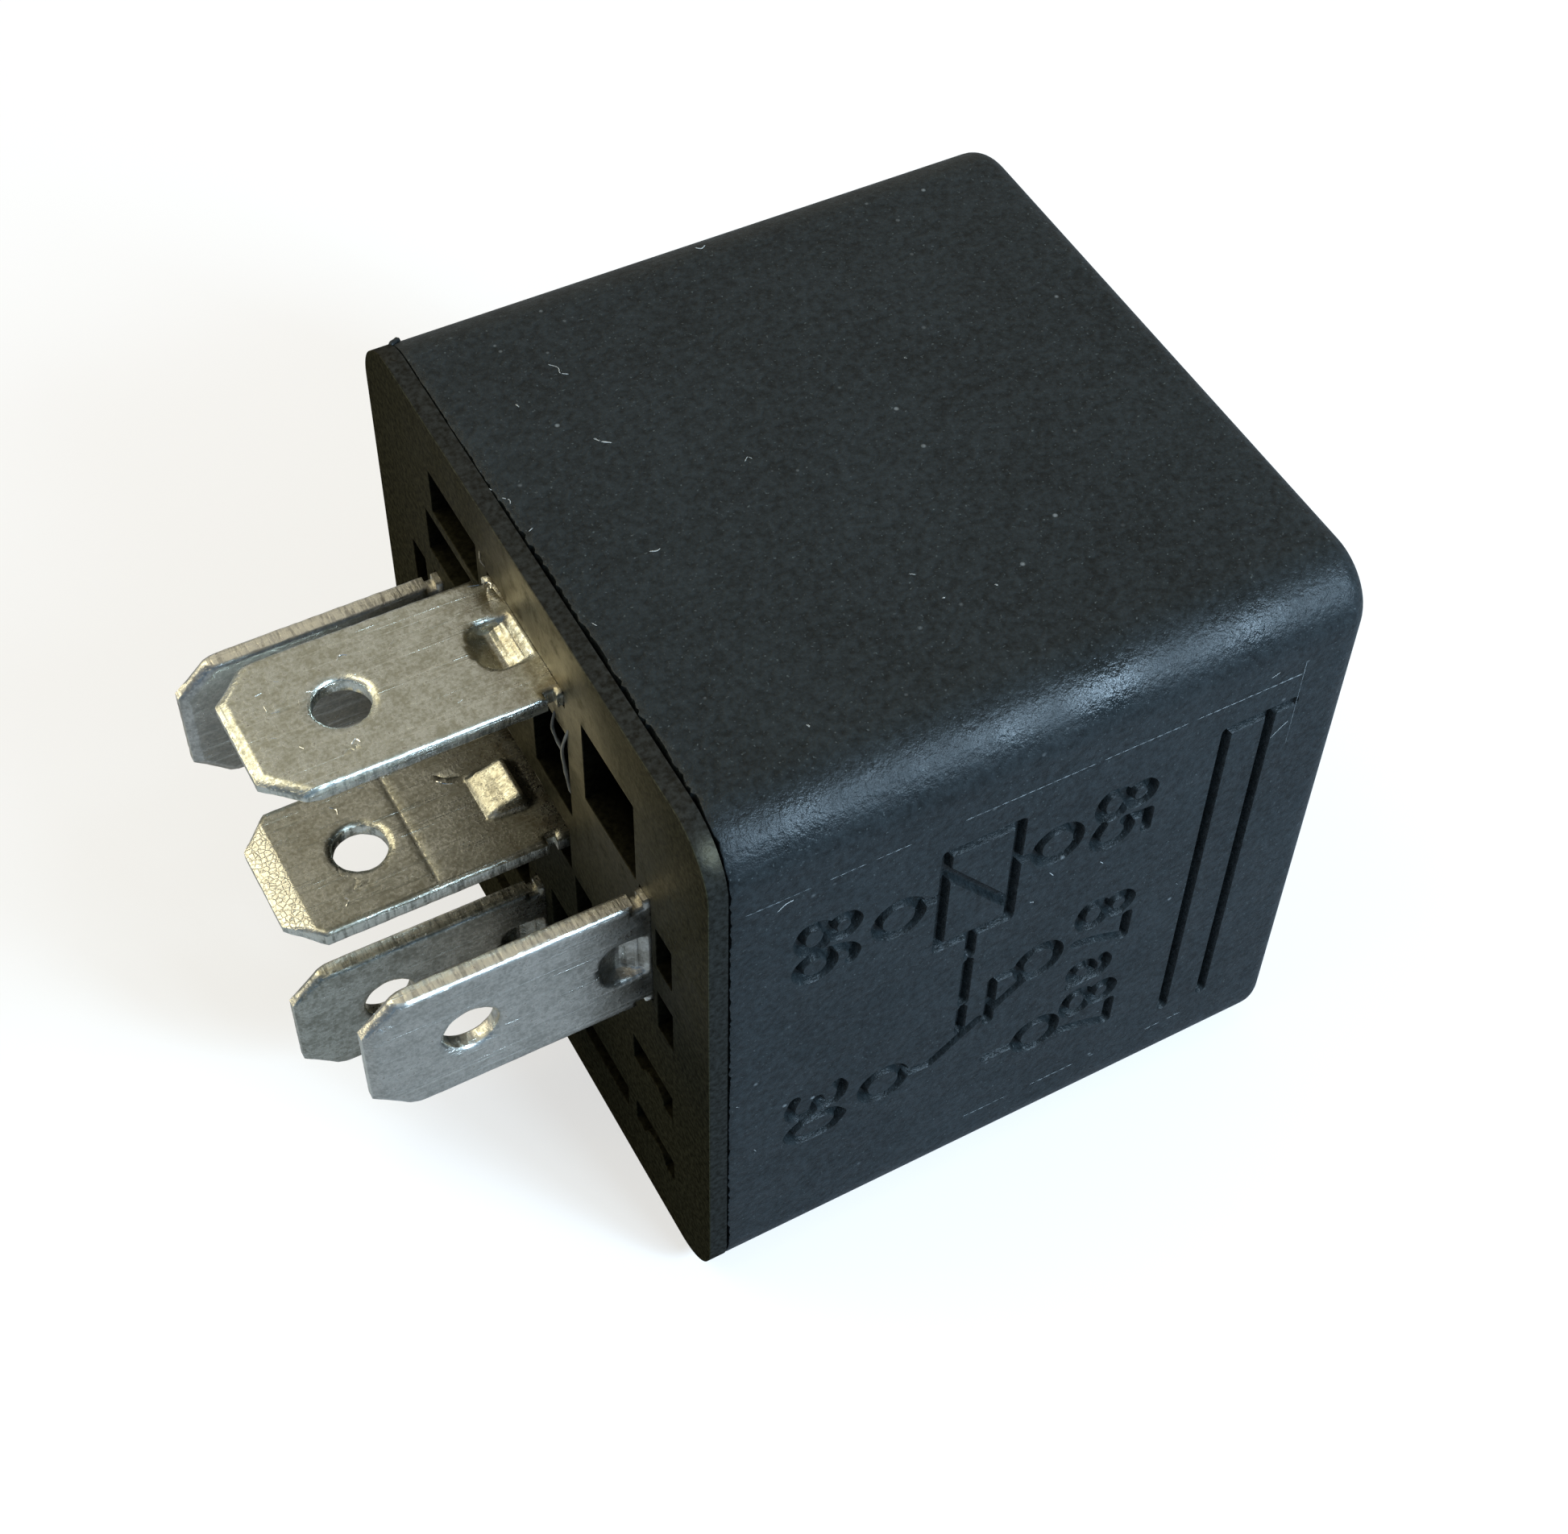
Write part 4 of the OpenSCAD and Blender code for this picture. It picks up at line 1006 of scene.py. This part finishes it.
# dust and fibres that cling to the cover, with their thickness
clinging = {
    # (x, y) on the upper side, thickness
    "top": (
        (((5.1, 4.7), (5.3, 4.4), (5.6, 4.2)), 0.034),
        (((4.4, -1.15), (4.62, -1.25), (4.8, -1.2)), 0.045),
        (((3.35, 7.55), (3.42, 7.35)), 0.035),
        (((5.3, 8.9), (5.55, 8.6), (5.5, 8.3), (5.75, 8.1)), 0.022),
        (((13.1, 12.25), (13.3, 12.1), (13.5, 12.2)), 0.022),
        (((12.35, -7.7), (12.45, -7.75)), 0.04),
        (((14.3, -8.0), (14.38, -8.1)), 0.04),
        (((5.5, -10.45), (5.56, -10.6)), 0.05),
        (((11.9, -6.2), (12.1, -6.35)), 0.02),
        (((9.4, 1.2), (9.6, 1.35), (9.7, 1.2)), 0.018),
        (((17.2, 3.3), (17.3, 3.2)), 0.025),
        (((0.95, 3.5), (1.15, 3.3), (1.1, 3.1)), 0.03),
        (((1.1, 1.6), (1.3, 1.7)), 0.03),
        (((1.2, -3.2), (1.3, -3.4)), 0.025),
        (((0.2, 5.4), (0.35, 5.0), (0.62, 4.7), (0.66, 4.3), (0.8, 4.0)), 0.022),
    ),
    # (x, z) on the marked side
    "side": (
        (((2.6, 24.1), (2.9, 24.35), (3.2, 24.4)), 0.03),
        (((13.9, 19.0), (14.1, 18.7)), 0.025),
        (((23.2, 21.4), (23.6, 21.8), (23.9, 22.05)), 0.022),
        (((16.2, 18.2), (16.35, 18.0)), 0.03),
        (((13.2, 17.6), (13.4, 17.5)), 0.02),
        (((22.5, 25.2), (22.9, 25.35)), 0.02),
        (((20.2, 14.2), (20.3, 14.1)), 0.02),
        (((1.9, 9.0), (2.0, 8.8)), 0.02),
        (((0.2, 13.4), (0.4, 13.25), (0.5, 13.3)), 0.03),
        (((0.3, 12.9), (0.55, 12.8)), 0.025),
        (((1.1, 12.75), (1.25, 12.6)), 0.02),
    ),
}


def buildClinging():
    points, faces = [], []
    face, top, front = housing["faceX"], housing["topZ"] - cover["sunk"], cover["sunk"] - housing["halfY"]
    thickest = 0.022            # what is thicker gets a second strand
    for line, radius in clinging["top"]:
        low = 0.006 if line[0][0] > 0.9 else -0.002      # the base rim lies a little higher than the cover
        path = smoothCurve([(face + x, y, top - low) for x, y in line], 4)
        tube(path, min(radius, thickest), points, faces)
        if radius > 0.03:
            tube([p + Vector((0.03, 0.02, -0.006)) for p in path], 0.02, points, faces)
    for line, radius in clinging["side"]:
        tube(smoothCurve([(face + x, front + 0.005, z) for x, z in line], 4), radius * 0.8, points, faces)
    points = [Vector((p.x, p.y, min(p.z, housing["topZ"]))) for p in points]
    addPiece("clinging_dust", meshFrom("clingingDust", points, faces), paleDust, sharp=60)


# slivers of tin rubbed up on the two flat blades, by the (y, z) of the blade's face: (x, y) from its middle
curls = {
    (0.0, 25.4): (((-6.35, 1.75), (-6.15, 1.95), (-5.9, 1.85)),
                  ((-7.3, -1.9), (-7.1, -1.75), (-7.0, -1.95)),
                  ((-9.2, 0.6), (-8.9, 0.55)), ((-9.3, 1.0), (-9.3, 0.75)), ((-8.2, 0.5), (-8.15, 0.75)),
                  ((-9.4, 1.55), (-9.15, 1.6)), ((-8.6, 1.9), (-8.45, 1.8)), ((-9.6, -0.4), (-9.45, -0.5)),
                  ((-4.4, 1.6), (-4.2, 1.75)), ((-3.4, -1.9), (-3.2, -1.85)), ((-8.9, -1.2), (-8.8, -1.35)),
                  ((-0.4, 2.6), (-0.25, 2.75), (-0.1, 2.6), (-0.2, 2.4)), ((-0.9, 2.85), (-0.5, 2.75))),
    (0.95, 15.85): (((-3.15, 1.5), (-2.9, 1.25), (-2.6, 1.1)), ((-7.2, 2.2), (-7.0, 2.0), (-7.05, 1.75)),
                    ((-6.3, -1.9), (-6.0, -2.0)), ((-8.4, -2.3), (-8.2, -2.1), (-8.3, -1.9)),
                    ((-5.0, -2.8), (-4.7, -2.95)), ((-5.9, 2.6), (-5.7, 2.5))),
}


def buildTinCurls():
    points, faces = [], []
    for (y, z), lines in curls.items():
        for line in lines:
            path = smoothCurve(line, 4) if len(line) > 2 else [Vector(p) for p in line]
            tube([Vector((housing["faceX"] + p.x, y + p.y, z)) for p in path], 0.032, points, faces)
    mesh = meshFrom("tinCurls", points, faces)
    addPiece("tin_curls", mesh, metals["contactSilver"], sharp=60)


# parting lines of the mould's insert on the marked side, coloured pale as a painted highlight along their
# ridges, (x, z) of their ends, broken into dashes
witness = {
    "lines": (((1.4, 24.65), (24.0, 24.65)), ((24.05, 25.3), (24.05, 19.5)), ((10.4, 3.7), (23.2, 3.7))),
    "dash": 0.35,
    "under": 0.008,             # how far under the surface the middle of a line lies
    "radius": (0.026, 0.016),   # at the weakest places, and how much more at the strongest
    "faint": -0.12,             # weaker than this, the line is gone
}


def buildWitnessLines():
    points, faces = [], []
    outside = -housing["halfY"]
    front = outside + cover["sunk"] + witness["under"]
    thin, thicker = witness["radius"]
    for ends in witness["lines"]:
        a, b = (Vector((housing["faceX"] + x, front, z)) for x, z in ends)
        count = int((b - a).length / witness["dash"])
        for k in range(count):
            here, there = a.lerp(b, k / count), a.lerp(b, (k + 1) / count)
            strength = noise.noise(Vector((here.x * 0.6, here.z * 0.6, 5.0)))
            strength += 0.5 * noise.noise(here * 3.7)
            if strength > witness["faint"]:
                middle = here.lerp(there, 0.5) + Vector((0, 0, 0.03 * noise.noise(here * 9)))
                tube([here, middle, there], thin + thicker * max(strength, 0), points, faces, 6)
    points = [Vector((p.x, max(p.y, outside + 0.002), p.z)) for p in points]
    mesh = meshFrom("witnessLines", points, faces)
    addPiece("witness_lines", mesh, partingLineSheen, sharp=60)


# thin flash, painted highlights along the edges of the blade seats, and the ragged corner of the seam: (x,
# y, z) and radius
flash = {
    "strands": (
        # the first two strands are painted highlights on the seat edges, the others are flash
        (((0.03, -2.85, 17.1), (0.03, -0.5, 17.08), (0.03, 2.0, 17.1), (0.03, 4.55, 17.05)), 0.035),
        (((0.03, -2.85, 14.6), (0.03, -2.86, 16.0), (0.03, -2.84, 17.1)), 0.03),
        (((0.05, -3.35, 23.6), (-0.12, -3.0, 22.2), (-0.05, -2.95, 21.0), (0.05, -3.1, 19.6)), 0.085),
        (((0.05, -2.2, 23.4), (-0.15, -2.3, 22.6), (0.05, -2.7, 21.5)), 0.075),
        (((0.05, 3.3, 25.5), (-0.08, 3.5, 25.75), (0.05, 3.8, 26.0)), 0.04),
    ),
    "burr": ((((0.7, 12.85, 28.06), (0.9, 13.0, 28.02), (1.1, 13.2, 27.86), (1.2, 13.4, 27.6)), 0.14),),
}


def buildFlash():
    for name, kind, steps, sides, material, slotName in (
            ("seat_flash_and_edge_sheen", "strands", 6, 6, flashAndEdgeSheen, "base_plastic"),
            ("seam_burr", "burr", 4, 7, coverPlastic, "cover_plastic")):
        points, faces = [], []
        for line, radius in flash[kind]:
            path = smoothCurve([(housing["faceX"] + x, y, z) for x, y, z in line], steps)
            tube(path, radius, points, faces, sides)
        addPiece(name, meshFrom(kind, points, faces), material, sharp=60)


buildClinging()
buildTinCurls()
buildWitnessLines()
buildFlash()
print("dust and flash placed")


# magnet, spring and contacts, inside the cover: node, piece, finish, slot, rounding of its edges
innerParts = {
    "relay": (
        ("coil_former", "former_moulding", nylon, "former_plastic", 0.12),
        ("core", "core_turned", metals["plainIron"], "soft_iron", 0.08),
        ("yoke", "yoke_bent", metals["zincIron"], "plated_iron", 0.10),
        ("yoke_rivets", "yoke_rivet_heads", metals["rivetSteel"], "rivet_steel", 0.06),
        ("terminal_rivet", "terminal_rivet_head", metals["rivetSteel"], "rivet_steel", 0.06),
        ("make_contact", "make_contact_button", metals["contactSilver"], "silver_alloy", 0.06),
        ("break_contact", "break_contact_button", metals["contactSilver"], "silver_alloy", 0.06),
        ("coil_lead_85", "lead_to_85", metals["copperWire"], "enamelled_wire", 0.02),
        ("coil_lead_86", "lead_to_86", metals["copperWire"], "enamelled_wire", 0.02),
    ),
    "magnet_armature": (
        ("armature", "armature_plate", metals["zincIron"], "plated_iron", 0.10),
        ("armature_rivets", "armature_rivet_heads", metals["rivetSteel"], "rivet_steel", 0.06),
        ("moving_contact", "moving_contact_button", metals["contactSilver"], "silver_alloy", 0.06),
    ),
}
for body, parts in innerParts.items():
    for node, name, material, slotName, rounding in parts:
        addPiece(name, softMesh(node, rounding), material, [node], body)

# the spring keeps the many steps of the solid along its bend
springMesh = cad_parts["contact_spring"].data.copy()
bronze = metals["springBronze"]
spring = addPiece("spring_strip", springMesh, bronze, ["contact_spring"], None)
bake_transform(spring)


winding = {
    "innerR": 3.65,
    "turns": 52,
    "around": 96,
    # how far below the outside the wire lies along one turn
    "groove": ((0.0, 0.07), (0.2, 0.025), (0.5, 0.0), (0.8, 0.025)),
    "loose": 0.02,
}


def buildWinding():
    # layers of wire side by side, seen as fine rings
    low, high = (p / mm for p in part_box("winding"))
    radius, inner, around = (high.y - low.y) / 2, winding["innerR"], winding["around"]
    middle = Vector((0, (low.y + high.y) / 2, (low.z + high.z) / 2))
    pitch = (high.x - low.x) / winding["turns"]
    profile = [(low.x, inner)]
    for k in range(winding["turns"]):
        profile += [(low.x + (k + share) * pitch, radius - dip) for share, dip in winding["groove"]]
    profile += [(high.x, radius - winding["groove"][0][1]), (high.x, inner)]
    points = []
    for x, r in profile:
        for j in range(around):
            a = j * math.tau / around
            loose = winding["loose"] * (noise.noise(Vector((x * 2, a * 3, 0))) - 1) if r > inner else 0
            points.append((x, middle.y + (r + loose) * math.cos(a), middle.z + (r + loose) * math.sin(a)))
    rings = len(profile)
    faces = [(i * around + j, i * around + (j + 1) % around, (i + 1) % rings * around + (j + 1) % around,
              (i + 1) % rings * around + j) for i in range(rings) for j in range(around)]
    mesh = facedOut(meshFrom("windingTurns", points, faces))
    addPiece("winding_turns", mesh, metals["copperWire"], ["winding"], sharp=60)


buildWinding()
print("inside dressed")


blue = (0.57, 0.79, 1.0)
studio = {
    "upper": (0.50, 0.48, 0.42),        # soft light from above and behind
    "lower": (0.11, 0.19, 0.30),        # cooler light from the marked side
    "split": (0.0, 0.65, 0.75),         # direction in which the one passes into the other
    "floorPale": (0.225, 0.25, 0.28),
    "floorShine": 0.15,                 # share of the white background that shiny surfaces see in the floor
    "floorSeen": (0.92, 0.92, 0.92),    # what the camera sees of the floor where the object's shadow falls
    "shadowShare": 0.40,
    "shadowReach": 120,
    "floorSize": 600,
    "floorDrop": -0.02,
    "aim": (0, 0, 14),
    # name, direction, distance, size, radiance, colour, turn
    "panels": (
        ("window_left", (0.36, -0.78, 0.50), 300, (34, 110), 45.0, blue, 0),
        ("window_right", (0.47, -0.74, 0.50), 300, (46, 110), 54.0, blue, 0),
        ("window_far", (0.17, -0.77, 0.60), 300, (44, 100), 26.0, blue, 0),
        ("warm_top", (-0.46, 0.06, 0.88), 420, (170, 150), 2.2, (1.0, 0.92, 0.68), 0),
        ("warm_low", (-0.70, 0.62, 0.34), 420, (150, 150), 3.2, (1.0, 0.92, 0.66), 0),
        ("warm_lamp", (-0.44, 0.50, 0.74), 420, (290, 170), 3.0, (1.0, 0.90, 0.60), 20),
    ),
}


def makeWorld():
    world = bpy.data.worlds.new("studio")
    world.use_nodes = True
    tree = world.node_tree
    tree.nodes.clear()
    way = addNode(tree, "TexCoord").outputs["Generated"]
    slope = addNode(tree, "VectorMath", {0: way, 1: studio["split"]}, operation="DOT_PRODUCT")
    height = spread(tree, slope.outputs["Value"], -0.35, 0.45)
    sky = blendColour(tree, height, studio["lower"], studio["upper"])
    soft = addNode(tree, "Background", {"Color": sky, "Strength": 1.0})
    white = addNode(tree, "Background", {"Color": (1, 1, 1, 1), "Strength": 1.0})
    seen = addNode(tree, "LightPath").outputs["Is Camera Ray"]
    mixed = addNode(tree, "MixShader", {0: seen, 1: soft.outputs[0], 2: white.outputs[0]})
    addNode(tree, "OutputWorld", {"Surface": mixed.outputs[0]})
    scene.world = world


def makeFloor():
    made, tree = newMaterial("paleFloor")
    rays = addNode(tree, "LightPath")
    seen = rays.outputs["Is Camera Ray"]
    pale = blendColour(tree, seen, studio["floorPale"], studio["floorSeen"])
    matt = addNode(tree, "BsdfDiffuse", {"Color": pale})
    white = addNode(tree, "Emission", {"Color": (1, 1, 1, 1), "Strength": 1.0})
    shiny = calc(tree, "MAXIMUM", rays.outputs["Is Glossy Ray"], rays.outputs["Is Transmission Ray"])
    # near the object some of the lit floor stays, so that the shadow shows
    kept = times(tree, nearPoint(tree, (0, 0, 0), studio["shadowReach"]), studio["shadowShare"])
    clear = calc(tree, "SUBTRACT", seen, kept)
    share = calc(tree, "MAXIMUM", clear, times(tree, shiny, studio["floorShine"]))
    closeMaterial(tree, addNode(tree, "MixShader", {0: share, 1: matt.outputs[0], 2: white.outputs[0]}))
    size, drop = studio["floorSize"], studio["floorDrop"]
    corners = [(x * size, y * size, drop) for x, y in ((-1, -1), (1, -1), (1, 1), (-1, 1))]
    mesh = meshFrom("floor", corners, [(0, 1, 2, 3)])
    mesh.materials.append(made)
    floor = bpy.data.objects.new("floor", mesh)
    scene.collection.objects.link(floor)


def addPanel(name, direction, distance, size, radiance, colour, turn):
    # a soft light, seen from the object's middle in that direction
    wide, high = size
    light = bpy.data.lights.new(name, "AREA")
    light.shape = "RECTANGLE"
    light.size, light.size_y = wide * mm, high * mm
    light.color = colour
    light.energy = radiance * math.pi * wide * high * mm * mm
    lamp = bpy.data.objects.new(name, light)
    where = Vector(direction).normalized()
    turned = Matrix.Rotation(math.radians(turn), 3, "Z").to_quaternion()
    lamp.rotation_euler = (where.to_track_quat("Z", "Y") @ turned).to_euler()
    lamp.location = (where * distance + Vector(studio["aim"])) * mm
    scene.collection.objects.link(lamp)


makeWorld()
makeFloor()
for panel in studio["panels"]:
    addPanel(*panel)
print("floor and lights placed")

view = {
    "place": (-30.346, -57.369, 95.83),
    "turn": (38.850775, -2.8983957, -29.948563),       # degrees
    "lens": 60.282,
    "shift": (-0.0668, -0.022),
    "nearest": 5,
}
camera = bpy.data.cameras.new("camera")
camera.sensor_width = 36
camera.lens = view["lens"]
camera.clip_start = view["nearest"] * mm
camera.shift_x, camera.shift_y = view["shift"]
eye = bpy.data.objects.new("camera", camera)
eye.location = Vector(view["place"]) * mm
eye.rotation_euler = [math.radians(a) for a in view["turn"]]
scene.collection.objects.link(eye)
scene.camera = eye
scene.view_settings.view_transform = "Standard"
